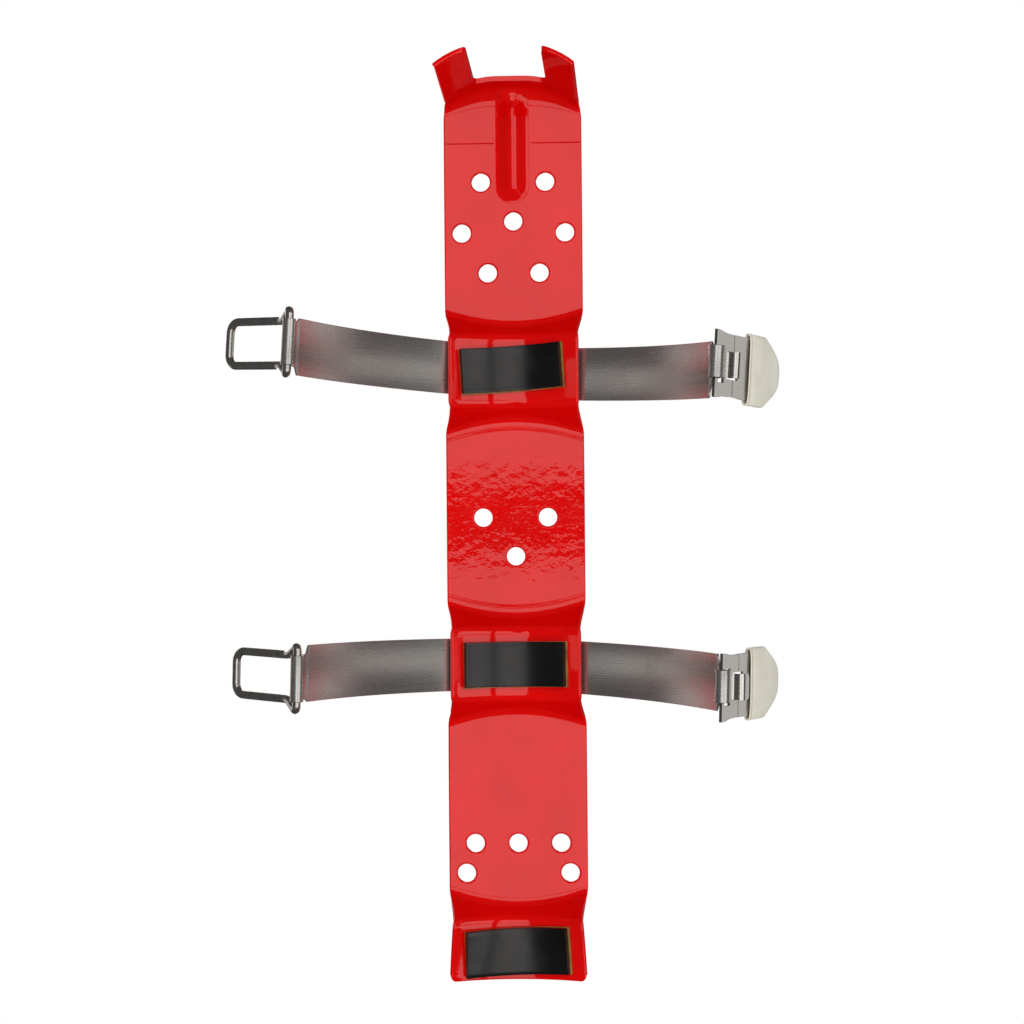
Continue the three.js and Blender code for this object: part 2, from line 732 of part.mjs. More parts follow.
// The hook: a tongue lanced out of the lever, standing up at its root and pointing to the handle.
function hook() {
  const half = HOOK_WIDTH / 2;
  const bend = HOOK_BEND;
  const t = LEVER / 2;
  const quarter = Math.PI / 2;
  const foot = [HOOK_ROOT + t - bend, bend];
  const top = [HOOK_ROOT + t + bend, HOOK_RISE - bend];
  const outline = [
    [foot[0] - 1, -t],
    ...arcPoints(foot, bend + t, -quarter, 0, 4),
    ...arcPoints(top, bend - t, 2 * quarter, quarter, 3),
    [HOOK_ROOT + HOOK_LENGTH, HOOK_RISE - t],
    [HOOK_ROOT + HOOK_LENGTH, HOOK_RISE + t],
    ...arcPoints(top, bend + t, quarter, 2 * quarter, 4),
    ...arcPoints(foot, bend - t, 0, -quarter, 3),
    [foot[0] - 1, t],
  ];
  const tongue = new THREE.Shape(faceAnticlockwise(outline).map(([a, h]) => new THREE.Vector2(a, h)));
  const geometry = new THREE.ExtrudeGeometry(tongue, { depth: 2 * half, bevelEnabled: false });
  return toSolid(geometry.translate(0, 0, -half));
}

function leverSolid() {
  let lever = flatPlate(faceAnticlockwise(leverOutline()), -LEVER / 2, LEVER / 2);
  const cut = (a0, a1, half) => flatPlate(rectangle(a0, a1, half), -5, 5);
  lever = lever.subtract(cut(LEVER_BAR, SLOT_END, SLOT_WIDTH / 2));
  lever = lever.subtract(cut(HOOK_ROOT + 0.4, WINDOW_END, HOOK_WIDTH / 2 + WINDOW_MARGIN));
  return lever.add(hook());
}

// The boot narrows to a rounded point past its straight part.
function bootHalfWidth(t) {
  const past = Math.max(0, t * BOOT_LENGTH - BOOT_STRAIGHT) / (BOOT_LENGTH - BOOT_STRAIGHT);
  return (BOOT_WIDTH / 2) * (1 - BOOT_TAPER * past) * Math.sqrt(1 - Math.pow(past, 8));
}

function bootSolid(start) {
  const ts = [0, 0.04, 0.1, 0.2, 0.3, 0.46, 0.5, 0.6, 0.7, 0.8, 0.88, 0.94, 0.98, 0.995];
  const around = 20;
  const rings = ts.map((t) => {
    const rim = t < 0.05 ? 0 : 0.5;
    const halfWidth = Math.max(3, bootHalfWidth(t)) - rim;
    const thickness = lerp(BOOT_MOUTH, BOOT_THICKNESS, Math.min(1, t / BOOT_FULL));
    const halfHeight = (thickness / 2) * Math.sqrt(Math.max(0.12, 1 - Math.pow(t, 5))) - rim;
    return Array.from({ length: around }, (_, k) => {
      const angle = (2 * Math.PI * k) / around;
      const c = Math.cos(angle);
      const s = Math.sin(angle);
      const square = (value) => Math.sign(value) * Math.pow(Math.abs(value), 0.55);
      return new THREE.Vector3(start + t * BOOT_LENGTH, halfHeight * square(s), halfWidth * square(c));
    });
  });
  return toSolid(loft(rings)).subtract(bootPocket());
}

// A closed body through rings of points, with a flat fan at each end.
function loft(rings) {
  const n = rings[0].length;
  const middle = (ring) => ring.reduce((sum, p) => sum.add(p), new THREE.Vector3()).divideScalar(n);
  const points = [...rings.flat(), middle(rings[0]), middle(rings[rings.length - 1])];
  const index = [];
  for (let i = 0; i + 1 < rings.length; i++) {
    for (let k = 0; k < n; k++) {
      const [a, b] = [i * n + k, i * n + ((k + 1) % n)];
      index.push(a, b + n, b, a, a + n, b + n);
    }
  }
  const last = (rings.length - 1) * n;
  for (let k = 0; k < n; k++) {
    const next = (k + 1) % n;
    index.push(rings.length * n, k, next);
    index.push(rings.length * n + 1, last + next, last + k);
  }
  const geometry = new THREE.BufferGeometry();
  geometry.setAttribute("position", new THREE.Float32BufferAttribute(points.flatMap((p) => p.toArray()), 3));
  geometry.setIndex(index);
  return geometry;
}

// The pocket that the handle sits in.
function bootPocket() {
  const outline = faceAnticlockwise(leverOutline());
  const centre = LEVER_LENGTH / 2;
  const grown = outline.map(([a, w]) => [a > centre ? a + CLEAR : a, w + Math.sign(w) * CLEAR]);
  return flatPlate(grown, -LEVER / 2 - CLEAR, LEVER / 2 + CLEAR);
}

// Places a part drawn flat at a pivot in plan, pointing at the given angle with its top away
// from the band.
function placeFlat(mesh, pivot, height, angle) {
  mesh.position.copy(at(pivot[0], pivot[1], height));
  mesh.rotation.set(Math.PI, 0, -angle, "ZYX");
}

const leverGeometry = toGeometry(leverSolid());

for (const band of BANDS) {
  const group = new THREE.Group();
  group.position.z = band.z;
  group.rotation.set(band.droop, band.tilt, 0);
  bracket.add(group);
  const half = BAND_WIDTH / 2;
  const centre = prismSolid(centreOutline(), -half, half);
  addMesh(`band_${band.name}_centre`, toGeometry(centre), steel, group);
  addArm(group, band.name, -1, band.left, { ...BAIL_CURL, shift: band.curlShift });
  addArm(group, band.name, 1, band.right, { ...LEVER_CURL, shift: band.tabShift });
  const bailHinge = curlCentre(-1, band.left, BAIL_CURL.inner);
  addMesh(`bail_${band.name}`, bailGeometry(bailHinge, band), wire, group);
  const leverPivot = curlCentre(1, band.right, LEVER_CURL.inner);
  const lever = addMesh(`lever_${band.name}`, leverGeometry, steel, group);
  const cover = addMesh(`boot_${band.name}`, toGeometry(bootSolid(band.boot)), boot, group);
  for (const mesh of [lever, cover]) placeFlat(mesh, leverPivot, band.leverShift, band.lever);
}

export default bracket;
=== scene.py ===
import math

import bmesh
import bpy
from mathutils import Matrix, Vector


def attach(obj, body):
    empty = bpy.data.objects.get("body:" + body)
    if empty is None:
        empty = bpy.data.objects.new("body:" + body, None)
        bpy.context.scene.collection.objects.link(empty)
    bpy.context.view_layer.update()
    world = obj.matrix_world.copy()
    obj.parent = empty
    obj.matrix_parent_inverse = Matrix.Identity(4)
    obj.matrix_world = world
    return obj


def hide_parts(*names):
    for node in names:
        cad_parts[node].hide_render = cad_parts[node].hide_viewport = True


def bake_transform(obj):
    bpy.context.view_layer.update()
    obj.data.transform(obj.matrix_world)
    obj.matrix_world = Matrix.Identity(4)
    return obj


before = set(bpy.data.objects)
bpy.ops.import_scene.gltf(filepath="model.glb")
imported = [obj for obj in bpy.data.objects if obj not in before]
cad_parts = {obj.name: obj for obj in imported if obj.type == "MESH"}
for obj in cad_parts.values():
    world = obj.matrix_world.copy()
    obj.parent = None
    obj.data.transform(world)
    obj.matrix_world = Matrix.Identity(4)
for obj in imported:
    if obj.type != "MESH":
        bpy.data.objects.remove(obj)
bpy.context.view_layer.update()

MM = 0.001

# Camera
CAMERA_PLACE = (33.2, -1200, -14.1)
CAMERA_LENS = 68.7
CAMERA_LEAN = 0.00855  # the plate leans this much to the left in the picture
CAMERA_AIM = (-0.0297, 0.0143)  # right and up from straight at the wall

# Back plate
SHEET = 3
HALF_WIDTH = 42.45
BOTTOM = -279.5
SADDLES = (-88.9, 88.9)
SADDLE_HALF = 21.4
FOOT_SADDLE = -243
CRADLE_RADIUS = 66.5
CRADLE_DEPTH = 81.5
FREE_END_RADIUS = 100
SLOPE = math.radians(58)
TIGHT = 8
LOOSE = 6.6
SLOPE_WAIST = 0.9
CREST_SCALE = 0.955
FREE_END_SCALE = 0.985
CORNER = 4.3
FORK_START = 250.3
FORK_RADIUS = 13.5
FORK_ANGLE = math.radians(81.4)
EAR_LENGTH = 57.5
ARCH_FLAT = 8
ARCH_RADIUS = 50
BEND_ARCH = 0.4  # part of the ears' arch that the bend's foot has
FORK_SKEW = -3.4
NOTCH_HALF = 21.9
NOTCH_DEPTH = 20
NOTCH_CORNER = 3.5
EAR_CORNER = 4.5
EAR_END = SHEET + FORK_RADIUS * (1 - math.cos(FORK_ANGLE)) + EAR_LENGTH * math.sin(FORK_ANGLE)
RIDGE_HEIGHT = 6.2
RIDGE_HALF = 10.5
RIDGE_END = 203
HOLE_RADIUS = 5.55
HOLES = [
    (-19.8, 206.2), (19.8, 206.2), (0, 182), (-31.75, 174.9), (31.75, 174.9),
    (-15.9, 150.2), (15.9, 150.2), (-19.8, 0), (19.8, 0), (0, -23.8),
    (-26.2, -199.2), (0, -199.2), (26.2, -199.2), (-31.75, -217.4), (31.75, -217.4),
]
LIP = 0.1  # step where the middle flat meets its bends
SCORE_LINE = 230  # height of the fine line across the top flat
SCORE_DEPTH = 0.5
SCORE_HALF = 0.42
EDGE = 0.95  # rounding of the sheet's edges
HOLE_EDGE = 1.3
DENTS = [(1.1, 70.6), (1.1, -71.2)]  # small smeared bumps at the edge of two cradles

# Pads
CLEAR = 0.3
ADHESIVE = 0.8
PAD = 2.8
PADS = [
    ("upper", 65, 27, -1.75, 90, 3.5),
    ("lower", 65, 27, -0.7, -88.9, 0.1),
    ("bottom", 65, 28, -0.8, -261.9, 2),
]

# Bands, bails, levers and boots
BAND = 1.1
BAND_WIDTH = 31.75
BAND_RADIUS = 71
BAND_WRAP = math.radians(37)
ARM_RADIUS = 225
LINKS = 3
WIRE = 4.76
BAIL_CURL = {"wide": 25.4, "inner": WIRE / 2 + 0.27, "turn": math.radians(315), "notch": 16.5}
LEVER_CURL = {"wide": 17.8, "inner": 3.5, "turn": math.radians(300), "notch": 12.8}
BAIL_HINGE_HALF = 17.7
BAIL_ARM_HALF = 12.3
BAIL_ROOT = 14
BAIL_LENGTH = 55.85
BAIL_NOSE_RADIUS = 6
LEVER = 1.6
LEVER_WIDTH = 37.4
LEVER_NECK = 36.2
LEVER_LENGTH = 73
LEVER_BAR = 1.75
SLOT_END = 9.2
SLOT_WIDTH = 20.4
HOOK_WIDTH = 14.4
HOOK_ROOT = 12
HOOK_LENGTH = 7.8
HOOK_RISE = 6.7
HOOK_BEND = 2.2
WINDOW_MARGIN = 0.5
WINDOW_END = 27
BOOT_LENGTH = 44.5
BOOT_WIDTH = 41
BOOT_THICKNESS = 7.5
BOOT_MOUTH = 5.2
BOOT_FULL = 0.3
BOOT_TAPER = 0.62
BOOT_STRAIGHT = 21
BANDS = [
    {"name": "upper", "z": 88.5, "tilt": 3.6, "droop": 0.75, "left": 141, "right": 126, "curl": 1.2,
     "tab": 3.6, "lever_up": 2.7, "root": -114, "arm": -142, "lever": -60, "boot": 39},
    {"name": "lower", "z": -89.8, "tilt": 1.6, "droop": 0.3, "left": 132.5, "right": 130,
     "curl": -1.7,
     "tab": -1, "lever_up": -1.9, "root": -119, "arm": -142, "lever": -62, "boot": 35},
]


# ---- camera ----

def make_camera():
    data = bpy.data.cameras.new("camera")
    data.lens = CAMERA_LENS
    data.sensor_width = 36
    data.clip_start = 0.01
    data.clip_end = 20
    camera = bpy.data.objects.new("camera", data)
    bpy.context.scene.collection.objects.link(camera)
    up = Vector((CAMERA_LEAN, 0, 1)).normalized()
    right = Vector((1, 0, -CAMERA_LEAN)).normalized()
    forward = (Vector((0, 1, 0)) + right * CAMERA_AIM[0] + up * CAMERA_AIM[1]).normalized()
    right = forward.cross(up).normalized()
    up = right.cross(forward)
    turn = Matrix((right, up, -forward)).transposed()
    camera.matrix_world = Matrix.Translation(Vector(CAMERA_PLACE) * MM) @ turn.to_4x4()
    bpy.context.scene.camera = camera


make_camera()


# ---- mesh helpers ----

def lerp(a, b, t):
    return a + (b - a) * t


def smooth(a, b, x):
    t = min(1, max(0, (x - a) / (b - a)))
    return t * t * (3 - 2 * t)


def steps(a, b, count):
    """Numbers from a towards b in even steps, without b."""
    return [lerp(a, b, i / count) for i in range(count)]


def at(x, depth, z):
    return Vector((x, -depth, z))


def arc(centre, radius, start, end, count):
    return [
        (centre[0] + radius * math.cos(lerp(start, end, i / count)),
         centre[1] + radius * math.sin(lerp(start, end, i / count)))
        for i in range(count + 1)
    ]


def new_piece(name, points, faces):
    """A mesh object from points in millimetres, with its faces turned outwards."""
    mesh = bpy.data.meshes.new(name)
    mesh.from_pydata([tuple(MM * c for c in p) for p in points], [], faces)
    work = bmesh.new()
    work.from_mesh(mesh)
    bmesh.ops.remove_doubles(work, verts=work.verts, dist=1e-7)
    bmesh.ops.recalc_face_normals(work, faces=work.faces)
    work.to_mesh(mesh)
    work.free()
    piece = bpy.data.objects.new(name, mesh)
    bpy.context.scene.collection.objects.link(piece)
    return piece


def slab(name, front, back):
    """A closed body between two grids of points of the same size."""
    rows, columns = len(front), len(front[0])
    points = [p for grid in (front, back) for row in grid for p in row]

    def corner(side, i, j):
        return (side * rows + i) * columns + j

    faces = []
    for i in range(rows - 1):
        for j in range(columns - 1):
            for side in (0, 1):
                faces.append([corner(side, i, j), corner(side, i, j + 1),
                              corner(side, i + 1, j + 1), corner(side, i + 1, j)])
        for j in (0, columns - 1):
            faces.append([corner(0, i, j), corner(0, i + 1, j), corner(1, i + 1, j),
                          corner(1, i, j)])
    for j in range(columns - 1):
        for i in (0, rows - 1):
            faces.append([corner(0, i, j), corner(1, i, j), corner(1, i, j + 1),
                          corner(0, i, j + 1)])
    return new_piece(name, points, faces)


def prism(name, outline, place, low, high):
    """A closed prism: place turns a point of the outline and a height into a point in space."""
    n = len(outline)
    points = [place(p, h) for h in (low, high) for p in outline]
    faces = [list(range(n)), list(range(n, 2 * n))]
    faces += [[i, (i + 1) % n, n + (i + 1) % n, n + i] for i in range(n)]
    return new_piece(name, points, faces)


def rings_piece(name, rings, closed):
    """A body through rings of points: a closed loop of rings, or capped at both ends."""
    n = len(rings[0])
    points = [p for ring in rings for p in ring]
    count = len(rings)
    faces = []
    for i in range(count if closed else count - 1):
        for k in range(n):
            a, b = i * n + k, i * n + (k + 1) % n
            c, d = ((i + 1) % count) * n + (k + 1) % n, ((i + 1) % count) * n + k
            faces.append([a, b, c, d])
    if not closed:
        faces += [list(range(n)), list(range((count - 1) * n, count * n))]
    return new_piece(name, points, faces)


def apply_modifiers(piece):
    depsgraph = bpy.context.evaluated_depsgraph_get()
    mesh = bpy.data.meshes.new_from_object(piece.evaluated_get(depsgraph))
    piece.modifiers.clear()
    piece.data = mesh


def boolean(piece, other, operation):
    modifier = piece.modifiers.new("boolean", "BOOLEAN")
    modifier.operation = operation
    modifier.object = other
    modifier.solver = "EXACT"
    apply_modifiers(piece)
    bpy.data.objects.remove(other)


def join(name, pieces):
    """One object from several, keeping their meshes as they are."""
    work = bmesh.new()
    for piece in pieces:
        work.from_mesh(piece.data)
        bpy.data.objects.remove(piece)
    mesh = bpy.data.meshes.new(name)
    work.to_mesh(mesh)
    work.free()
    joined = bpy.data.objects.new(name, mesh)
    bpy.context.scene.collection.objects.link(joined)
    return joined


def round_edges(piece, width, segments=2, angle=35, smooth_angle=40):
    """Rounds the sharp edges and shades the rest smooth."""
    bevel = piece.modifiers.new("bevel", "BEVEL")
    bevel.width = width * MM
    bevel.segments = segments
    bevel.limit_method = "ANGLE"
    bevel.angle_limit = math.radians(angle)
    bevel.use_clamp_overlap = True
    bevel.harden_normals = False
    apply_modifiers(piece)
    shade(piece, smooth_angle)


def shade(piece, smooth_angle=40, weighted=False):
    piece.data.shade_smooth()
    piece.data.set_sharp_from_angle(angle=math.radians(smooth_angle))
    if weighted:
        modifier = piece.modifiers.new("normals", "WEIGHTED_NORMAL")
        modifier.keep_sharp = True
        apply_modifiers(piece)


def dress(piece, material):
    piece.data.materials.clear()
    piece.data.materials.append(material)
    return piece


# ---- materials ----

class Nodes:
    """A short way to write a material's node tree."""

    def __init__(self, name):
        self.material = bpy.data.materials.new(name)
        self.material.use_nodes = True
        self.tree = self.material.node_tree
        self.shader = self.tree.nodes["Principled BSDF"]
        self.place = self.tree.nodes.new("ShaderNodeTexCoord").outputs["Object"]

    def set(self, **values):
        for name, value in values.items():
            self.shader.inputs[name.replace("_", " ")].default_value = value

    def link(self, a, b):
        self.tree.links.new(a, b)

    def stretched(self, scale):
        node = self.tree.nodes.new("ShaderNodeMapping")
        node.inputs["Scale"].default_value = scale
        self.link(self.place, node.inputs["Vector"])
        return node.outputs["Vector"]

    def noise(self, scale, detail=3, vector=None, roughness=0.5):
        node = self.tree.nodes.new("ShaderNodeTexNoise")
        node.inputs["Scale"].default_value = scale
        node.inputs["Detail"].default_value = detail
        node.inputs["Roughness"].default_value = roughness
        self.link(vector or self.place, node.inputs["Vector"])
        return node.outputs["Fac"]

    def cells(self, scale):
        node = self.tree.nodes.new("ShaderNodeTexVoronoi")
        node.inputs["Scale"].default_value = scale
        self.link(self.place, node.inputs["Vector"])
        return node.outputs["Distance"]

    def spread(self, value, low, high, to_low=0, to_high=1):
        node = self.tree.nodes.new("ShaderNodeMapRange")
        for name, number in (("From Min", low), ("From Max", high), ("To Min", to_low),
                             ("To Max", to_high)):
            node.inputs[name].default_value = number
        self.link(value, node.inputs["Value"])
        return node.outputs["Result"]

    def mix(self, factor, a, b):
        node = self.tree.nodes.new("ShaderNodeMix")
        node.data_type = "RGBA"
        self.link(factor, node.inputs[0])
        for socket, value in ((node.inputs[6], a), (node.inputs[7], b)):
            if isinstance(value, tuple):
                socket.default_value = (*value, 1)
            else:
                self.link(value, socket)
        return node.outputs[2]

    def math(self, operation, a, b):
        node = self.tree.nodes.new("ShaderNodeMath")
        node.operation = operation
        for socket, value in ((node.inputs[0], a), (node.inputs[1], b)):
            if isinstance(value, (int, float)):
                socket.default_value = value
            else:
                self.link(value, socket)
        return node.outputs[0]

    def height(self):
        split = self.tree.nodes.new("ShaderNodeSeparateXYZ")
        self.link(self.place, split.inputs[0])
        return split.outputs[2]

    def bump(self, height, strength, distance, under=None):
        node = self.tree.nodes.new("ShaderNodeBump")
        node.inputs["Strength"].default_value = strength
        node.inputs["Distance"].default_value = distance
        self.link(height, node.inputs["Height"])
        if under is not None:
            self.link(under, node.inputs["Normal"])
        return node.outputs["Normal"]

    def finish(self, color=None, roughness=None, normal=None):
        for value, name in ((color, "Base Color"), (roughness, "Roughness"), (normal, "Normal")):
            if value is not None:
                self.link(value, self.shader.inputs[name])
        return self.material


def red_coating():
    """Glossy powder coat: orange peel all over, strongest on the middle flat."""
    n = Nodes("red powder coat")
    n.set(Metallic=0.0, IOR=1.5)
    color = n.mix(n.spread(n.noise(25, 4), 0.35, 0.7), (0.6, 0.001, 0.0008), (0.53, 0.0008, 0.0006))
    roughness = n.spread(n.noise(90, 3), 0.3, 0.7, 0.035, 0.075)
    height = n.height()
    above = n.spread(height, -0.056, -0.03)
    below = n.spread(height, 0.056, 0.03)
    middle = n.spread(n.math("MULTIPLY", above, below), 0, 1, 0.16, 1)
    peel = n.math("MULTIPLY", n.noise(175, 2.5, roughness=0.5), middle)
    coarse = n.bump(peel, 0.6, 0.00026)
    normal = n.bump(n.noise(1500, 1), 0.06, 0.00003, under=coarse)
    return n.finish(color, roughness, normal)


def pad_rubber():
    n = Nodes("black pad rubber")
    n.set(Metallic=0.0, IOR=1.5)
    specks = n.spread(n.cells(420), 0.0, 0.035, 1, 0)
    some = n.spread(n.noise(160, 2), 0.56, 0.6)
    dust = n.math("MULTIPLY", specks, some)
    base = n.mix(n.spread(n.noise(45, 4), 0.3, 0.75), (0.002, 0.002, 0.0022),
                 (0.005, 0.005, 0.0055))
    color = n.mix(dust, base, (0.16, 0.155, 0.15))
    roughness = n.spread(n.noise(120, 4), 0.3, 0.7, 0.2, 0.28)
    return n.finish(color, roughness, n.bump(n.noise(2200, 3), 0.12, 0.00004))


def adhesive():
    n = Nodes("yellow adhesive")
    n.set(Metallic=0.0)
    color = n.mix(n.spread(n.noise(240, 4), 0.3, 0.7), (0.13, 0.065, 0.008), (0.27, 0.16, 0.03))
    roughness = n.spread(n.noise(200, 3), 0.3, 0.7, 0.35, 0.6)
    return n.finish(color, roughness, n.bump(n.noise(900, 4), 0.4, 0.0001))


def band_steel():
    """Rolled stainless strip: faint streaks along the strip, fine scratches and a few smears."""
    n = Nodes("rolled steel strip")
    n.set(Metallic=0.9)
    streaks = n.noise(60, 5, n.stretched((0.1, 0.1, 40)), 0.6)
    smears = n.noise(38, 4)
    color = n.mix(n.spread(streaks, 0.3, 0.7), (0.44, 0.43, 0.42), (0.5, 0.49, 0.48))
    rough = n.spread(streaks, 0.3, 0.7, 0.24, 0.29)
    roughness = n.math("ADD", rough, n.spread(smears, 0.5, 0.75, 0, 0.06))
    return n.finish(color, roughness, n.bump(streaks, 0.015, 0.00001))


def lever_steel():
    n = Nodes("brushed lever steel")
    n.set(Metallic=1.0)
    streaks = n.noise(60, 4, n.stretched((0.3, 0.3, 30)), 0.55)
    color = n.mix(n.spread(streaks, 0.3, 0.7), (0.6, 0.59, 0.57), (0.66, 0.65, 0.63))
    roughness = n.spread(streaks, 0.3, 0.7, 0.22, 0.28)
    return n.finish(color, roughness, n.bump(streaks, 0.02, 0.00001))


def bail_wire():
    """Drawn wire with dark die marks and small pits."""
    n = Nodes("drawn wire")
    n.set(Metallic=0.95)
    marks = n.noise(260, 5, roughness=0.6)
    pits = n.spread(n.cells(520), 0.0, 0.16)
    color = n.mix(n.spread(marks, 0.35, 0.65), (0.44, 0.43, 0.41), (0.54, 0.53, 0.51))
    roughness = n.spread(marks, 0.3, 0.7, 0.18, 0.26)
    normal = n.bump(marks, 0.07, 0.00004, under=n.bump(pits, 0.06, 0.00002))
    return n.finish(color, roughness, normal)


def boot_rubber():
    n = Nodes("off-white rubber")
    n.set(Metallic=0.0, IOR=1.45, Subsurface_Weight=0.08, Subsurface_Scale=0.002)
    patches = n.noise(48, 4)
    color = n.mix(n.spread(patches, 0.35, 0.7), (0.64, 0.635, 0.56), (0.56, 0.545, 0.455))
    roughness = n.spread(n.noise(160, 3), 0.3, 0.7, 0.5, 0.66)
    return n.finish(color, roughness, n.bump(n.noise(700, 4), 0.12, 0.00008))


def boot_line():
    n = Nodes("orange-brown seam")
    n.set(Metallic=0.0)
    color = n.mix(n.spread(n.noise(300, 3), 0.3, 0.7), (0.3, 0.14, 0.04), (0.45, 0.25, 0.09))
    roughness = n.spread(n.noise(200, 3), 0.3, 0.7, 0.5, 0.7)
    return n.finish(color, roughness, n.bump(n.noise(900, 3), 0.2, 0.00005))


RED = red_coating()
RUBBER = pad_rubber()
GLUE = adhesive()
STRIP = band_steel()
LEVER_STEEL = lever_steel()
WIRE_STEEL = bail_wire()
BOOT = boot_rubber()
SEAM = boot_line()


# ---- back plate ----

LOOSE_CUT = LOOSE * math.tan(SLOPE / 2)
TIGHT_CUT = TIGHT * math.tan(SLOPE / 2)
FOOT_CREST, FOOT_FLANK, BOTTOM_FLAT, LOWER_FLANK, LOWER_CREST, LOWER_TOP = 0, 1, 4, 5, 8, 9
MIDDLE_FLAT, UPPER_FLANK, UPPER_CREST, UPPER_TOP = 12, 13, 16, 17
TOP_FLAT, FORK_BEND, EARS, END = 20, 21, 22, 23


def arch(u):
    angle = max(0, abs(u) - ARCH_FLAT) / ARCH_RADIUS
    flat = min(abs(u), ARCH_FLAT)
    x = math.copysign(flat + ARCH_RADIUS * math.sin(angle), u)
    return x, ARCH_RADIUS * (1 - math.cos(angle))


def crest(u, radius):
    """x and depth of a point of a cradle that lies u from the middle along the sheet."""
    x = radius * math.sin(u / radius)
    return x, CRADLE_DEPTH - CRADLE_RADIUS + radius * (1 - math.cos(u / radius))


def flank(t, crest_depth):
    """A cradle's side: how far back from the crest's edge, and the depth, for t from 0 to 3."""
    run = (crest_depth - SHEET) / math.tan(SLOPE)
    if t <= 1:
        angle = t * SLOPE
        return run + TIGHT_CUT - TIGHT * math.sin(angle), SHEET + TIGHT * (1 - math.cos(angle))
    if t >= 2:
        angle = (3 - t) * SLOPE
        return -LOOSE_CUT + LOOSE * math.sin(angle), crest_depth - LOOSE * (1 - math.cos(angle))
    low, high = flank(1, crest_depth), flank(2, crest_depth)
    return lerp(low[0], high[0], t - 1), lerp(low[1], high[1], t - 1)


def on_flank(u, t, edge, direction):
    top_x, top_depth = crest(CREST_SCALE * u, CRADLE_RADIUS)
    back, depth = flank(t, top_depth)
    part = (depth - SHEET) / (top_depth - SHEET)
    waist = SLOPE_WAIST * 4 * part * (1 - part) * (u / HALF_WIDTH)
    return at(lerp(u, top_x, part) - waist, depth, edge + direction * back)


def on_crest(u, z, radius=CRADLE_RADIUS, scale=CREST_SCALE):
    x, depth = crest(scale * u, radius)
    return at(x, depth, z)


def on_flat(u, t, start, end):
    return at(u, SHEET, lerp(start.z, end.z, t))


def fork_lean(depth):
    return FORK_SKEW * (depth - SHEET) / (FORK_RADIUS + EAR_LENGTH)


def on_fork(u, angle, beyond):
    arch_x, drop = arch(u)
    depth = SHEET + FORK_RADIUS * (1 - math.cos(angle)) + beyond * math.sin(angle)
    drop *= lerp(BEND_ARCH, 1, angle / FORK_ANGLE)
    z = FORK_START - drop + FORK_RADIUS * math.sin(angle) + beyond * math.cos(angle)
    return at(lerp(u, arch_x, angle / FORK_ANGLE) + fork_lean(depth), depth, z)


def plain_plate(u, v):
    lower, upper = SADDLES
    crest_half = SADDLE_HALF - LOOSE_CUT
    if v < FOOT_FLANK:
        part = max(0, v)
        radius = lerp(FREE_END_RADIUS, CRADLE_RADIUS, part)
        scale = lerp(FREE_END_SCALE, CREST_SCALE, part)
        return on_crest(u, lerp(BOTTOM, FOOT_SADDLE - LOOSE_CUT, v), radius, scale)
    if v < BOTTOM_FLAT:
        return on_flank(u, BOTTOM_FLAT - v, FOOT_SADDLE, 1)
    if v < LOWER_FLANK:
        start = on_flank(u, 0, FOOT_SADDLE, 1)
        return on_flat(u, v - BOTTOM_FLAT, start, on_flank(u, 0, lower - SADDLE_HALF, -1))
    if v < LOWER_CREST:
        return on_flank(u, v - LOWER_FLANK, lower - SADDLE_HALF, -1)
    if v < LOWER_TOP:
        return on_crest(u, lower + lerp(-crest_half, crest_half, v - LOWER_CREST))
    if v < MIDDLE_FLAT:
        return on_flank(u, MIDDLE_FLAT - v, lower + SADDLE_HALF, 1)
    if v < UPPER_FLANK:
        start = on_flank(u, 0, lower + SADDLE_HALF, 1)
        return on_flat(u, v - MIDDLE_FLAT, start, on_flank(u, 0, upper - SADDLE_HALF, -1))
    if v < UPPER_CREST:
        return on_flank(u, v - UPPER_FLANK, upper - SADDLE_HALF, -1)
    if v < UPPER_TOP:
        return on_crest(u, upper + lerp(-crest_half, crest_half, v - UPPER_CREST))
    if v < TOP_FLAT:
        return on_flank(u, TOP_FLAT - v, upper + SADDLE_HALF, 1)
    if v < FORK_BEND:
        return on_flat(u, v - TOP_FLAT, on_flank(u, 0, upper + SADDLE_HALF, 1), on_fork(u, 0, 0))
    if v < EARS:
        return on_fork(u, (v - FORK_BEND) * FORK_ANGLE, 0)
    return on_fork(u, FORK_ANGLE, (v - EARS) * EAR_LENGTH)


def normal_of(surface, u, v):
    step = 1e-3
    along_u = surface(u + step, v) - surface(u - step, v)
    along_v = surface(u, v + step) - surface(u, v - step)
    return along_u.cross(along_v).normalized()


def relief(point, u, v):
    """How far the finished front stands off the plain sheet at the ridge."""
    out = 0
    if v >= TOP_FLAT:
        r = math.hypot(u, max(0, RIDGE_END - point.z))
        fade = 1 - smooth(FORK_BEND - 0.05, FORK_BEND + 0.85, v)
        if r < RIDGE_HALF:
            out += fade * RIDGE_HEIGHT / 2 * (1 + math.cos(math.pi * r / RIDGE_HALF))
    return out


def fine_relief(point, v):
    out = 0
    if MIDDLE_FLAT - 1 < v < UPPER_FLANK + 1:
        length = 2 * (SADDLES[1] - SADDLE_HALF) - 22
        beyond = max(MIDDLE_FLAT - v, v - UPPER_FLANK)
        out += LIP * (1 - smooth(0.4, 2.6, -beyond * length)) * (1 - smooth(0, 0.6, beyond))
    for x, z in DENTS:
        out += 0.45 * math.exp(-((point.x - x) / 4.5) ** 2 - ((point.z - z) / 1.1) ** 2)
    return out


def plate_front(u, v):
    point = plain_plate(u, v)
    out = relief(point, u, v)
    return point + normal_of(plain_plate, u, v) * out if out else point


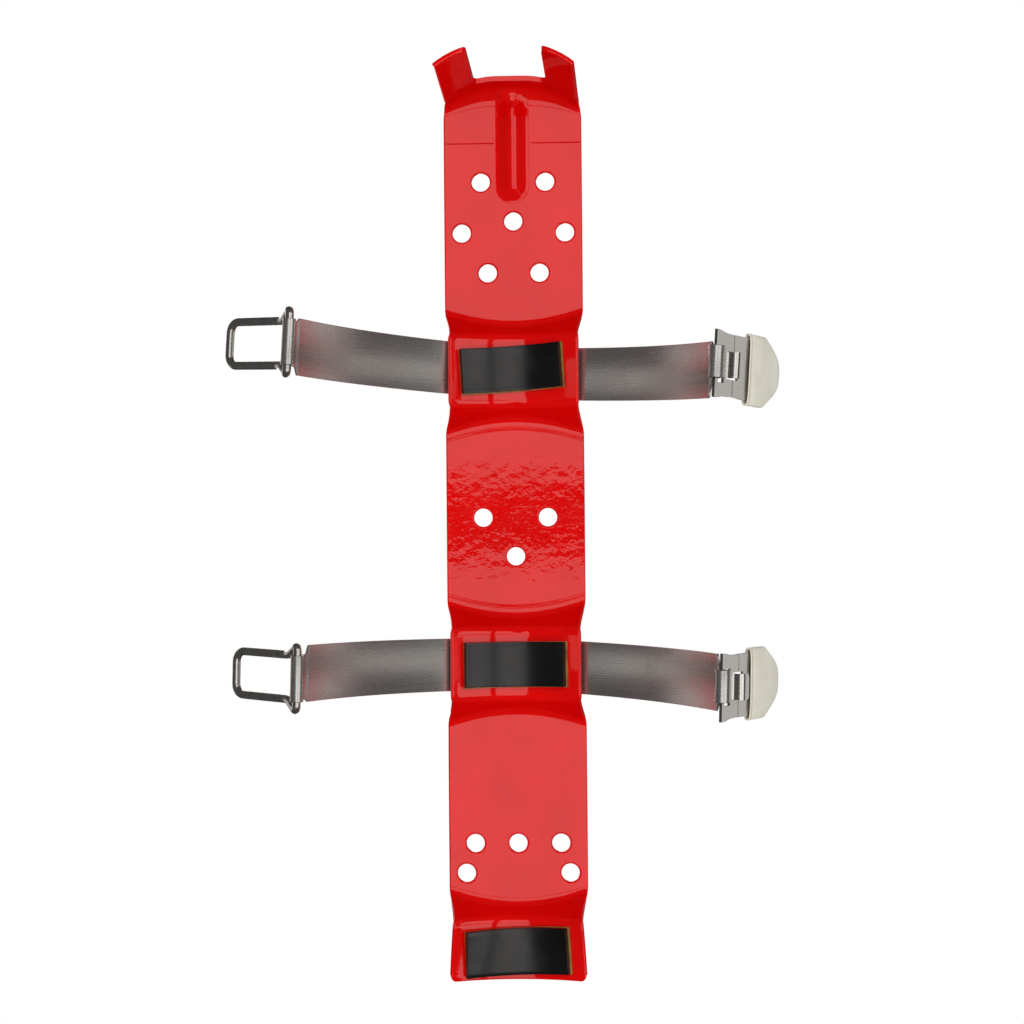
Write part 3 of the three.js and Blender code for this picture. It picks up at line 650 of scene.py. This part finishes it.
def plate_rows():
    flank_rows = lambda start: [*steps(start, start + 1, 7), *steps(start + 1, start + 2, 3),
                                *steps(start + 2, start + 3, 7)]
    crest_rows = lambda start: [*steps(start, start + 0.12, 5),
                                *steps(start + 0.12, start + 0.88, 4),
                                *steps(start + 0.88, start + 1, 5)]
    return [
        *steps(FOOT_CREST, FOOT_FLANK, 8), *flank_rows(FOOT_FLANK),
        *steps(BOTTOM_FLAT, LOWER_FLANK, 5),
        *flank_rows(LOWER_FLANK), *crest_rows(LOWER_CREST), *flank_rows(LOWER_TOP),
        *steps(MIDDLE_FLAT, MIDDLE_FLAT + 0.03, 8),
        *steps(MIDDLE_FLAT + 0.03, MIDDLE_FLAT + 0.97, 5),
        *steps(MIDDLE_FLAT + 0.97, UPPER_FLANK, 8), *flank_rows(UPPER_FLANK),
        *crest_rows(UPPER_CREST),
        *flank_rows(UPPER_TOP), *steps(TOP_FLAT, TOP_FLAT + 0.5, 3),
        *steps(TOP_FLAT + 0.5, TOP_FLAT + 0.7, 18),
        *steps(TOP_FLAT + 0.7, FORK_BEND, 8), *steps(FORK_BEND, EARS, 24),
        *steps(EARS, EARS + 0.15, 3),
        *steps(EARS + 0.15, END, 6), END,
    ]


def plate_columns():
    half = [*steps(0, 12, 10), *steps(12, HALF_WIDTH, 14), HALF_WIDTH]
    return [-u for u in reversed(half[1:])] + half


def settled(normal, point):
    """The sheet's edge is square to the wall near the flats, and follows the cradle higher up."""
    part = smooth(SHEET, CRADLE_DEPTH - CRADLE_RADIUS, -point.y)
    return Vector((normal.x * part, normal.y, normal.z)).normalized()


def plate_ring(v, columns, inset):
    """The sheet's section across its width, as a closed ring with rounded sides.
    The inset draws both faces together, for the rounding of the sheet's two ends."""
    front, back, sides = [], [], []
    radius = (SHEET - 2 * inset) / 2 - 0.01
    radius = min(EDGE, radius)
    for u in columns:
        point, normal = plate_front(u, v), normal_of(plate_front, u, v)
        point = point + normal * fine_relief(point, v)
        behind = settled(normal, point)
        front.append(point - normal * inset)
        back.append(point - behind * (SHEET - inset))
    for k, outward in ((-1, 1), (0, -1)):
        u = columns[k]
        normal = normal_of(plate_front, u, v)
        behind = settled(normal, front[k])
        along = (plate_front(u + 1e-3, v) - plate_front(u - 1e-3, v)).normalized() * outward
        rounding = []
        for step in range(1, 6):
            angle = math.pi / 2 * step / 5
            rounding.append(front[k] - normal * (radius * (1 - math.cos(angle)))
                            + along * (EDGE * math.sin(angle)))
        for step in range(0, 5):
            angle = math.pi / 2 * step / 5
            rounding.append(back[k] + behind * (radius * (1 - math.sin(angle)))
                            + along * (EDGE * math.cos(angle)))
        sides.append(rounding)
    return front + sides[0] + back[::-1] + sides[1][::-1]


def plate_body():
    rows = plate_rows()
    columns = [u * (HALF_WIDTH - EDGE) / HALF_WIDTH for u in plate_columns()]
    foot, ear = FOOT_SADDLE - LOOSE_CUT - BOTTOM, EAR_LENGTH
    turns = [math.pi / 2 * k / 5 for k in range(1, 6)]
    first = [(EDGE * (1 - math.sin(b)) / foot, EDGE * (1 - math.cos(b))) for b in reversed(turns)]
    last = [(END - EDGE * (1 - math.sin(b)) / ear, EDGE * (1 - math.cos(b))) for b in turns]
    start, stop = EDGE / foot, END - EDGE / ear
    middle = [(start, 0), *[(v, 0) for v in rows if start + 0.01 < v < stop - 0.01], (stop, 0)]
    return rings_piece("plate", [plate_ring(v, columns, inset)
                                 for v, inset in first + middle + last], False)


def hole_cutter(x, z):
    """A round cutter that also rounds the hole's front edge."""
    profile = [(HOLE_RADIUS, -4), (HOLE_RADIUS, SHEET - HOLE_EDGE)]
    profile += [(HOLE_RADIUS + HOLE_EDGE * (1 - math.cos(b)), SHEET - HOLE_EDGE * (1 - math.sin(b)))
                for b in (math.pi / 2 * k / 6 for k in range(1, 6))]
    profile.append((HOLE_RADIUS + HOLE_EDGE * 1.02, SHEET + 0.02))
    profile.append((HOLE_RADIUS + HOLE_EDGE * 1.02, SHEET + 4))
    angles = [2 * math.pi * k / 48 for k in range(48)]
    rings = [[at(x + r * math.cos(t), depth, z + r * math.sin(t)) for t in angles]
             for r, depth in profile]
    return rings_piece("hole", rings, False)


def notch_cutter():
    reach = 90
    end = EAR_END - EAR_CORNER
    outline = []
    quarter = math.pi / 2
    inner_x = NOTCH_HALF - NOTCH_CORNER
    inner = fork_lean(NOTCH_DEPTH)
    outer = fork_lean(end)
    outline += arc((inner - inner_x, NOTCH_DEPTH + NOTCH_CORNER), NOTCH_CORNER, 2 * quarter,
                   3 * quarter, 8)
    outline += arc((inner + inner_x, NOTCH_DEPTH + NOTCH_CORNER), NOTCH_CORNER, 3 * quarter,
                   4 * quarter, 8)
    outline += arc((outer + NOTCH_HALF + EAR_CORNER, end), EAR_CORNER, 2 * quarter, quarter, 8)
    outline += [(NOTCH_HALF + EAR_CORNER + fork_lean(reach), reach),
                (-NOTCH_HALF - EAR_CORNER + fork_lean(reach), reach)]
    outline += arc((outer - NOTCH_HALF - EAR_CORNER, end), EAR_CORNER, quarter, 0, 8)
    return prism("notch", outline, lambda p, h: at(p[0], p[1], h), FORK_START - 30, FORK_START + 50)


def corner_cutter(side):
    edge = crest(FREE_END_SCALE * HALF_WIDTH, FREE_END_RADIUS)[0] + 0.2
    x, z = edge - CORNER, BOTTOM + CORNER
    outline = [(edge + 4, BOTTOM - 4), (edge + 4, z), *arc((x, z), CORNER, 0, -math.pi / 2, 8),
               (x, BOTTOM - 4)]
    return prism("corner", outline, lambda p, h: (side * p[0], h, p[1]), -60, 4)


def score_cutter(side):
    """A fine straight line pressed across the top flat on one side of the ridge."""
    inner, outer = RIDGE_HALF + 0.8, HALF_WIDTH - 1.2
    out = 0.4
    wide = SCORE_HALF * (1 + out / SCORE_DEPTH)
    section = [(-wide, -out), (wide, -out), (0, SCORE_DEPTH)]
    return prism("line", section, lambda p, h: at(side * h, SHEET - p[1], SCORE_LINE + p[0]), inner,
                 outer)


def make_plate():
    plate = plate_body()
    cutters = [hole_cutter(*hole) for hole in HOLES]
    cutters += [notch_cutter(), corner_cutter(-1), corner_cutter(1)]
    cutters += [score_cutter(-1), score_cutter(1)]
    boolean(plate, join("cutters", cutters), "DIFFERENCE")
    shade(plate, 40, weighted=True)
    plate.name = "back_plate_coated"
    dress(plate, RED)
    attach(plate, "bracket")
    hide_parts("back_plate")


make_plate()


# ---- pads ----

def cradle_face(z):
    end = FOOT_SADDLE - LOOSE_CUT

    def face(u, w):
        height = z + w
        part = 1 if z > FOOT_SADDLE else (height - BOTTOM) / (end - BOTTOM)
        x, depth = crest(u, lerp(FREE_END_RADIUS, CRADLE_RADIUS, part))
        return at(x, depth, height)

    return face


def cradle_sheet(name, across, along, x, z, tilt, near, far):
    face = cradle_face(z)
    c, s = math.cos(math.radians(tilt)), math.sin(math.radians(tilt))

    def turned(a, b):
        return face(x + a * c - b * s, a * s + b * c)

    us = [*steps(-across / 2, across / 2, 48), across / 2]
    vs = [*steps(-along / 2, along / 2, 10), along / 2]
    grid = lambda offset: [[turned(u, v) + normal_of(turned, u, v) * offset for u in us]
                           for v in vs]
    return slab(name, grid(far), grid(near))


for pad_name, across, along, x, z, tilt in PADS:
    low = 2 * CLEAR + ADHESIVE
    pad = cradle_sheet("pad_" + pad_name + "_rubber", across, along, x, z, tilt, low - 0.2,
                       low + PAD)
    round_edges(pad, 0.35, segments=2)
    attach(dress(pad, RUBBER), "bracket")
    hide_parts("pad_" + pad_name)
    edge = 0.6
    glue = cradle_sheet("adhesive_" + pad_name + "_layer", across + edge, along + edge, x + edge,
                        z - 0.3, tilt + 0.5,
                        0.02, CLEAR + ADHESIVE)
    round_edges(glue, 0.2, segments=2)
    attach(dress(glue, GLUE), "bracket")
    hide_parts("adhesive_" + pad_name)


# ---- bands ----

def arm_point(side, s):
    """x, depth and outward direction of the band's inner face, s along the arm."""
    heading = BAND_WRAP + s / ARM_RADIUS
    x = BAND_RADIUS * math.sin(BAND_WRAP) + ARM_RADIUS * (math.sin(heading) - math.sin(BAND_WRAP))
    depth = CRADLE_DEPTH - BAND_RADIUS * math.cos(BAND_WRAP)
    depth += ARM_RADIUS * (math.cos(BAND_WRAP) - math.cos(heading))
    return side * x, depth, side * math.sin(heading), -math.cos(heading)


def wrap_point(angle):
    return (BAND_RADIUS * math.sin(angle), CRADLE_DEPTH - BAND_RADIUS * math.cos(angle),
            math.sin(angle), -math.cos(angle))


def strip_point(side, q):
    """The same for the whole strip, q from the plate's middle line."""
    wrapped = BAND_RADIUS * BAND_WRAP
    return wrap_point(side * q / BAND_RADIUS) if q < wrapped else arm_point(side, q - wrapped)


def strip(name, path, widths):
    """A strip of steel along a path, with its lowest and highest edge at each point of it.
    Its long edges are rounded. A very short step at each end keeps the shading even over a seam."""
    path, widths = [list(values) for values in (path, widths)]
    for near, far in ((0, 1), (-1, -2)):
        nudge = 0.04
        point = tuple(lerp(a, b, nudge) for a, b in zip(path[near], path[far]))
        place = 1 if near == 0 else len(path) - 1
        path.insert(place, (*point[:2], *path[near][2:]))
        widths.insert(place, widths[near])
    radius, around = 0.35, 4
    quarter = math.pi / 2
    rings = []
    for (x, depth, ox, od), (low, high) in zip(path, widths):
        section = []
        for across, out, start in ((high - radius, BAND - radius, 0),
                                   (low + radius, BAND - radius, quarter),
                                   (low + radius, radius, 2 * quarter),
                                   (high - radius, radius, 3 * quarter)):
            section += [(across + radius * math.cos(start + quarter * k / around),
                         out + radius * math.sin(start + quarter * k / around))
                         for k in range(around + 1)]
        rings.append([at(x + ox * out, depth + od * out, across) for across, out in section])
    return rings_piece(name, rings, False)


def curl_centre(side, length, inner):
    x, depth, ox, od = arm_point(side, length)
    return x - ox * inner, depth - od * inner


def end_widths(s, length, curl, shift):
    """The strip's edges near its end: full width, then a cut corner down to the curl's width."""
    cut = 3.2
    part = smooth(length - curl["notch"] - cut / 2, length - curl["notch"] + cut / 2, s)
    full, narrow = BAND_WIDTH / 2, curl["wide"] / 2
    return lerp(-full, shift - narrow, part), lerp(full, shift + narrow, part)


def end_strip(name, side, start, length, curl, shift):
    ss = [*steps(start, length - curl["notch"] - 3, 6),
          *steps(length - curl["notch"] - 3, length - 8, 16),
          *steps(length - 8, length, 5), length]
    path = [arm_point(side, s) for s in ss]
    widths = [end_widths(s, length, curl, shift) for s in ss]
    *_, ox, od = arm_point(side, length)
    cx, cd = curl_centre(side, length, curl["inner"])
    first = math.atan2(od, ox)
    turns = 30
    for i in range(1, turns + 1):
        angle = first + side * curl["turn"] * i / turns
        path.append((cx + curl["inner"] * math.cos(angle), cd + curl["inner"] * math.sin(angle),
                     math.cos(angle), math.sin(angle)))
        widths.append(end_widths(length, length, curl, shift))
    return strip(name, path, widths)


def band_matrix(band):
    droop = Matrix.Rotation(math.radians(band["droop"]), 4, "X")
    tilt = Matrix.Rotation(math.radians(band["tilt"]), 4, "Y")
    return Matrix.Translation((0, 0, band["z"] * MM)) @ (droop @ tilt)


def settle(piece, matrix):
    piece.data.transform(matrix)
    return piece


def crossing_strip(name, side, q0, q1):
    count = max(6, int((q1 - q0) / 2.5))
    path = [strip_point(side, lerp(q0, q1, i / count)) for i in range(count + 1)]
    return strip(name, path, [(-BAND_WIDTH / 2, BAND_WIDTH / 2)] * len(path))


def place_on_strip(matrix, side, q):
    x, depth, _, _ = strip_point(side, q)
    return matrix @ (at(x, depth, 0) * MM)


def finish_strip(piece, matrix):
    settle(piece, matrix)
    shade(piece, 50)
    return dress(piece, STRIP)


def make_band(band):
    name, matrix = band["name"], band_matrix(band)
    wrapped = BAND_RADIUS * BAND_WRAP
    centre_end = wrapped - 9
    path = [wrap_point(lerp(-centre_end, centre_end, i / 36) / BAND_RADIUS) for i in range(37)]
    centre = strip(f"band_{name}_middle", path, [(-BAND_WIDTH / 2, BAND_WIDTH / 2)] * len(path))
    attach(finish_strip(centre, matrix), f"{name}_band")
    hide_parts(f"band_{name}_centre")
    for side, hand, curl, shift in ((-1, "left", BAIL_CURL, band["curl"]),
                                    (1, "right", LEVER_CURL, band["tab"])):
        length = band[hand]
        link = length / LINKS
        meets = [centre_end, *[wrapped + (i + 0.5) * link for i in range(LINKS)]]
        bodies = [f"{name}_band", *[f"{name}_{hand}_{i + 1}" for i in range(LINKS)]]
        for i in range(LINKS):
            piece = crossing_strip(f"band_{name}_{hand}_strip_{i + 1}", side, meets[i],
                                   meets[i + 1])
            finish_strip(piece, matrix)
            start, end = (place_on_strip(matrix, side, q) for q in (meets[i], meets[i + 1]))
            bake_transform(piece)
            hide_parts(f"band_{name}_{hand}_{i + 1}")
        last = end_strip(f"band_{name}_{hand}_end", side, (LINKS - 0.5) * link, length, curl, shift)
        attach(finish_strip(last, matrix), bodies[-1])


# ---- bails ----

def bail_loop():
    """The wire's flat centre line, as (distance from the hinge, sideways place)."""
    bend = 3.2
    quarter = math.pi / 2
    nose = BAIL_LENGTH - BAIL_NOSE_RADIUS
    side = BAIL_ARM_HALF - BAIL_NOSE_RADIUS
    half = [
        (0, 0), (0, 7), (0, BAIL_HINGE_HALF - bend - 2),
        *arc((bend, BAIL_HINGE_HALF - bend), bend, 2 * quarter, quarter + 0.45, 5),
        (BAIL_ROOT * 0.75, BAIL_ARM_HALF + 1), (BAIL_ROOT, BAIL_ARM_HALF),
        (BAIL_ROOT * 1.25, BAIL_ARM_HALF),
        (BAIL_ROOT * 1.5, BAIL_ARM_HALF), (30, BAIL_ARM_HALF), (nose - 6, BAIL_ARM_HALF),
        *arc((nose, side), BAIL_NOSE_RADIUS, quarter, 0, 6), (BAIL_LENGTH, 0),
    ]
    loop = half + [(a, -w) for a, w in reversed(half[1:-1])]
    for _ in range(2):
        loop = cut_corners(loop)
    return loop


def cut_corners(loop):
    """One round of corner cutting, which turns a polygon into a smooth loop."""
    out = []
    for (a0, w0), (a1, w1) in zip(loop, loop[1:] + loop[:1]):
        out += [(lerp(a0, a1, 0.25), lerp(w0, w1, 0.25)), (lerp(a0, a1, 0.75), lerp(w0, w1, 0.75))]
    return out


def bail_profile(a, hinge, band):
    soft, count = 5, 40
    root, arm = math.radians(band["root"]), math.radians(band["arm"])

    def angle_at(b):
        return lerp(root, arm, smooth(BAIL_ROOT - soft, BAIL_ROOT + soft, b))

    x, depth = hinge
    for i in range(count):
        angle = angle_at((i + 0.5) / count * a)
        x += math.cos(angle) * a / count
        depth += math.sin(angle) * a / count
    angle = angle_at(a)
    return x, depth, at(-math.sin(angle), math.cos(angle), 0)


def make_bail(band):
    hinge = curl_centre(-1, band["left"], BAIL_CURL["inner"])
    centres = []
    for a, w in bail_loop():
        x, depth, normal = bail_profile(a, hinge, band)
        centres.append((at(x, depth, w + band["curl"]), normal))
    rings, sides = [], 20
    count = len(centres)
    for i, (point, normal) in enumerate(centres):
        tangent = (centres[(i + 1) % count][0] - centres[i - 1][0]).normalized()
        across = tangent.cross(normal).normalized()
        up = across.cross(tangent).normalized()
        angles = [2 * math.pi * k / sides for k in range(sides)]
        rings.append([point + (across * math.cos(t) + up * math.sin(t)) * (WIRE / 2)
                      for t in angles])
    bail = rings_piece(f"bail_{band['name']}_wire", rings, True)
    settle(bail, band_matrix(band))
    shade(bail, 60)
    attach(dress(bail, WIRE_STEEL), f"{band['name']}_bail")
    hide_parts(f"bail_{band['name']}")


# ---- levers and boots, drawn lying flat: along the handle, above it, across it ----

def lever_outline():
    wide, neck = LEVER_WIDTH / 2, LEVER_NECK / 2
    handle = neck - 3
    side = [(-LEVER_BAR, wide), (1, wide), (4, wide - 0.2), (7, wide - 0.75), (10, wide - 1.1),
            (13, neck - 0.6),
            (17, neck - 0.7), (24, neck - 0.5), (52, neck - 0.4), (62, handle),
            (LEVER_LENGTH, handle - 8)]
    return side + [(a, -w) for a, w in reversed(side)]


def flat_block(name, outline, low, high):
    return prism(name, outline, lambda p, h: (p[0], h, p[1]), low, high)


def rectangle(a0, a1, half):
    return [(a0, -half), (a1, -half), (a1, half), (a0, half)]


def hook_piece():
    """The tongue: upright at its root, then pointing to the handle, with rounded corners."""
    half, bend, t = HOOK_WIDTH / 2, HOOK_BEND, LEVER / 2
    quarter = math.pi / 2
    foot = (HOOK_ROOT + t - bend, bend)
    top = (HOOK_ROOT + t + bend, HOOK_RISE - bend)
    middle = [(foot[0] - 1, 0), *arc(foot, bend, -quarter, 0, 8),
              *arc(top, bend, 2 * quarter, quarter, 8)]
    tip = HOOK_ROOT + HOOK_LENGTH
    middle += [(lerp(middle[-1][0], tip, k / 6), HOOK_RISE) for k in range(1, 7)]
    upper, lower = [], []
    for i, (a, h) in enumerate(middle):
        before, after = middle[max(0, i - 1)], middle[min(len(middle) - 1, i + 1)]
        along = Vector((after[0] - before[0], after[1] - before[1])).normalized()
        out = (-along.y * t, along.x * t)
        rounding = max(0, a - (tip - 2.2)) if h > HOOK_RISE - 0.1 else 0
        reach = half - (2.2 - math.sqrt(max(0, 2.2 ** 2 - rounding ** 2)))
        across = [lerp(-reach, reach, k / 8) for k in range(9)]
        upper.append([Vector((a + out[0], h + out[1], w)) for w in across])
        lower.append([Vector((a - out[0], h - out[1], w)) for w in across])
    return slab("hook", upper, lower)


def lever_matrix(band):
    """Stands a flat-drawn piece at the lever's pivot, with its top away from the band."""
    x, depth = curl_centre(1, band["right"], LEVER_CURL["inner"])
    place = Matrix.Translation(at(x, depth, band["lever_up"]) * MM)
    turn = Matrix.Rotation(-math.radians(band["lever"]), 4, "Z") @ Matrix.Rotation(math.pi, 4, "X")
    return band_matrix(band) @ place @ turn


def crease(side):
    """A shallow bead pressed across the lever beside the hook."""
    a, height = 20.5, 0.3
    outline = [(a - 1.1, -0.3), *arc((a, -0.35), 1.1, math.pi * 0.85, math.pi * 0.15, 6),
               (a + 1.1, -0.3)]
    outline = [(p[0], LEVER / 2 + min(height, p[1] * 0.4)) for p in outline]
    low, high = sorted((side * (HOOK_WIDTH / 2 + 1.2), side * (LEVER_NECK / 2 - 1.2)))
    return prism("crease", outline, lambda p, h: (p[0], p[1], h), low, high)


def make_lever(band):
    lever = flat_block(f"lever_{band['name']}_steel", lever_outline(), -LEVER / 2, LEVER / 2)
    slot = flat_block("slot", rectangle(LEVER_BAR, SLOT_END, SLOT_WIDTH / 2), -5, 5)
    boolean(lever, slot, "DIFFERENCE")
    window = flat_block("window", rectangle(HOOK_ROOT + 0.4, WINDOW_END,
                                            HOOK_WIDTH / 2 + WINDOW_MARGIN), -5, 5)
    boolean(lever, window, "DIFFERENCE")
    boolean(lever, hook_piece(), "UNION")
    for side in (-1, 1):
        boolean(lever, crease(side), "UNION")
    round_edges(lever, 0.3, segments=2, angle=40)
    settle(lever, lever_matrix(band))
    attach(dress(lever, LEVER_STEEL), f"{band['name']}_lever")
    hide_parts(f"lever_{band['name']}")


def boot_half_width(along):
    """Half the boot's width: parallel sides, then two nearly straight edges to a broad tip."""
    past = max(0, along - BOOT_STRAIGHT) / (BOOT_LENGTH - BOOT_STRAIGHT)
    return BOOT_WIDTH / 2 * (1 - BOOT_TAPER * past) * math.sqrt(max(0, 1 - past ** 8))


def boot_half_height(along):
    part = along / BOOT_LENGTH
    thickness = lerp(BOOT_MOUTH, BOOT_THICKNESS, smooth(0, BOOT_FULL, part))
    return thickness / 2 * math.sqrt(max(0.02, 1 - part ** 6)) * (1 - 0.12 * part)


def boot_ring(start, along, half_width, half_height):
    count, power = 56, 0.5
    ring = []
    for k in range(count):
        c, s = math.cos(2 * math.pi * k / count), math.sin(2 * math.pi * k / count)
        bend = lambda value: math.copysign(abs(value) ** power, value)
        ring.append(Vector((start + along, half_height * bend(s), half_width * bend(c))))
    return ring


def boot_rings(start):
    """From inside the mouth, round the rolled rim, over a shallow groove and on to the tip."""
    half, wide = BOOT_MOUTH / 2, BOOT_WIDTH / 2
    lip, wall = 0.95, 1.35
    rings = [boot_ring(start, along, wide - wall, half - wall) for along in (5, 1.2)]
    for k in range(7):
        angle = math.pi * k / 6
        out = lip / 2 * (1 - math.cos(angle))
        rings.append(boot_ring(start, lip * (1 - math.sin(angle)), wide - lip - 0.05 + out,
                               half - lip - 0.05 + out))
    for along, groove in ((1.9, 0.3), (2.5, 0.5), (3.1, 0.3)):
        rings.append(boot_ring(start, along, wide - groove, boot_half_height(along) - groove))
    body = [4, 6, 9, 13, 17, 20, 21.5, 23, 26, 29, 32, 35, 37.5, 39.5, 41, 42.2, 43.2, 43.9, 44.35]
    for along in body:
        rings.append(boot_ring(start, along, max(1.2, boot_half_width(along) - 0.15),
                               boot_half_height(along) - 0.15))
    return rings


def make_boot(band):
    name, start = band["name"], band["boot"]
    boot = rings_piece(f"boot_{name}_rubber", boot_rings(start), False)
    settle(boot, lever_matrix(band))
    shade(boot, 50)
    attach(dress(boot, BOOT), f"{name}_lever")
    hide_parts(f"boot_{name}")
    sizes = [(1.15, 0.7), (1.1, 0.14), (1.45, 0.02), (1.8, 0.16), (1.75, 0.7)]
    rings = [boot_ring(start, along, BOOT_WIDTH / 2 - inset, boot_half_height(along) - inset)
             for along, inset in sizes]
    seam = rings_piece(f"boot_{name}_seam", rings, True)
    settle(seam, lever_matrix(band))
    shade(seam, 50)
    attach(dress(seam, SEAM), f"{name}_lever")


for band in BANDS:
    make_band(band)
    make_bail(band)
    make_lever(band)
    make_boot(band)


# ---- floor, light and surroundings ----

def soft_box(name, azimuth, low, high, half_angle, power, distance=1250, glossy=True):
    """A soft box in front of the plate, facing it. Low and high are heights in millimetres."""
    angle = math.radians(azimuth)
    width = 2 * distance * math.tan(math.radians(half_angle))
    light = bpy.data.lights.new(name, "AREA")
    light.shape = "RECTANGLE"
    light.size = width * MM
    light.size_y = (high - low) * MM
    light.energy = power * light.size * light.size_y
    lamp = bpy.data.objects.new(name, light)
    lamp.location = Vector((distance * math.sin(angle), -distance * math.cos(angle),
                            (low + high) / 2)) * MM
    lamp.rotation_euler = (math.radians(90), 0, angle)
    light.color = (1, 0.965, 0.93)
    lamp.visible_camera = False
    lamp.visible_glossy = glossy
    bpy.context.scene.collection.objects.link(lamp)
    return lamp


BOX_RADIANCE = 4.7  # watts per square metre of soft box
for row, (low, high) in (("upper", (58, 780)), ("lower", (-760, -32))):
    soft_box("near_box_" + row, 3.4, low, high, 15.6, BOX_RADIANCE)
    soft_box("right_box_" + row, 41.6, low, high, 17.3, BOX_RADIANCE)
soft_box("fill_box", -20, -500, 900, 30, 4.0, distance=1700, glossy=False)
soft_box("back_box", 200, -300, 900, 25, 6.0, distance=1600)
soft_box("right_side_box", 122, -500, 600, 17, 1.9, distance=1500)
soft_box("left_side_box", 238, -500, 600, 17, 2.2, distance=1500)


def surroundings():
    world = bpy.data.worlds.new("studio")
    bpy.context.scene.world = world
    world.use_nodes = True
    nodes, links = world.node_tree.nodes, world.node_tree.links
    nodes.clear()
    path = nodes.new("ShaderNodeLightPath")
    white = nodes.new("ShaderNodeBackground")
    white.inputs["Color"].default_value = (1, 1, 1, 1)
    room = nodes.new("ShaderNodeBackground")
    room.inputs["Color"].default_value = (1, 1, 1, 1)
    room.inputs["Strength"].default_value = 0.05
    fill = nodes.new("ShaderNodeBackground")
    fill.inputs["Color"].default_value = (1, 1, 1, 1)
    fill.inputs["Strength"].default_value = 0.5
    by_gloss = nodes.new("ShaderNodeMixShader")
    by_camera = nodes.new("ShaderNodeMixShader")
    out = nodes.new("ShaderNodeOutputWorld")
    links.new(path.outputs["Is Glossy Ray"], by_gloss.inputs[0])
    links.new(fill.outputs[0], by_gloss.inputs[1])
    links.new(room.outputs[0], by_gloss.inputs[2])
    links.new(path.outputs["Is Camera Ray"], by_camera.inputs[0])
    links.new(by_gloss.outputs[0], by_camera.inputs[1])
    links.new(white.outputs[0], by_camera.inputs[2])
    links.new(by_camera.outputs[0], out.inputs[0])


surroundings()


def make_floor():
    """A pale floor well below the bracket, which hangs on a wall in use."""
    half, height, lift = 1400, -760, 6
    count = 12
    front, back = [], []
    for i in range(count + 1):
        y = lerp(-half, 900, i / count)
        xs = [lerp(-half, half, j / count) for j in range(count + 1)]
        front.append([(x, y, height) for x in xs])
        back.append([(x, y, height - lift) for x in xs])
    floor = slab("floor", front, back)
    n = Nodes("pale floor")
    n.set(Metallic=0.0)
    color = n.mix(n.noise(6, 2), (0.8, 0.8, 0.8), (0.84, 0.84, 0.835))
    floor.data.materials.append(n.finish(color, n.spread(n.noise(20, 2), 0, 1, 0.7, 0.8)))
    floor.visible_glossy = False


make_floor()

scene = bpy.context.scene
scene.view_settings.view_transform = "Standard"
scene.view_settings.look = "None"
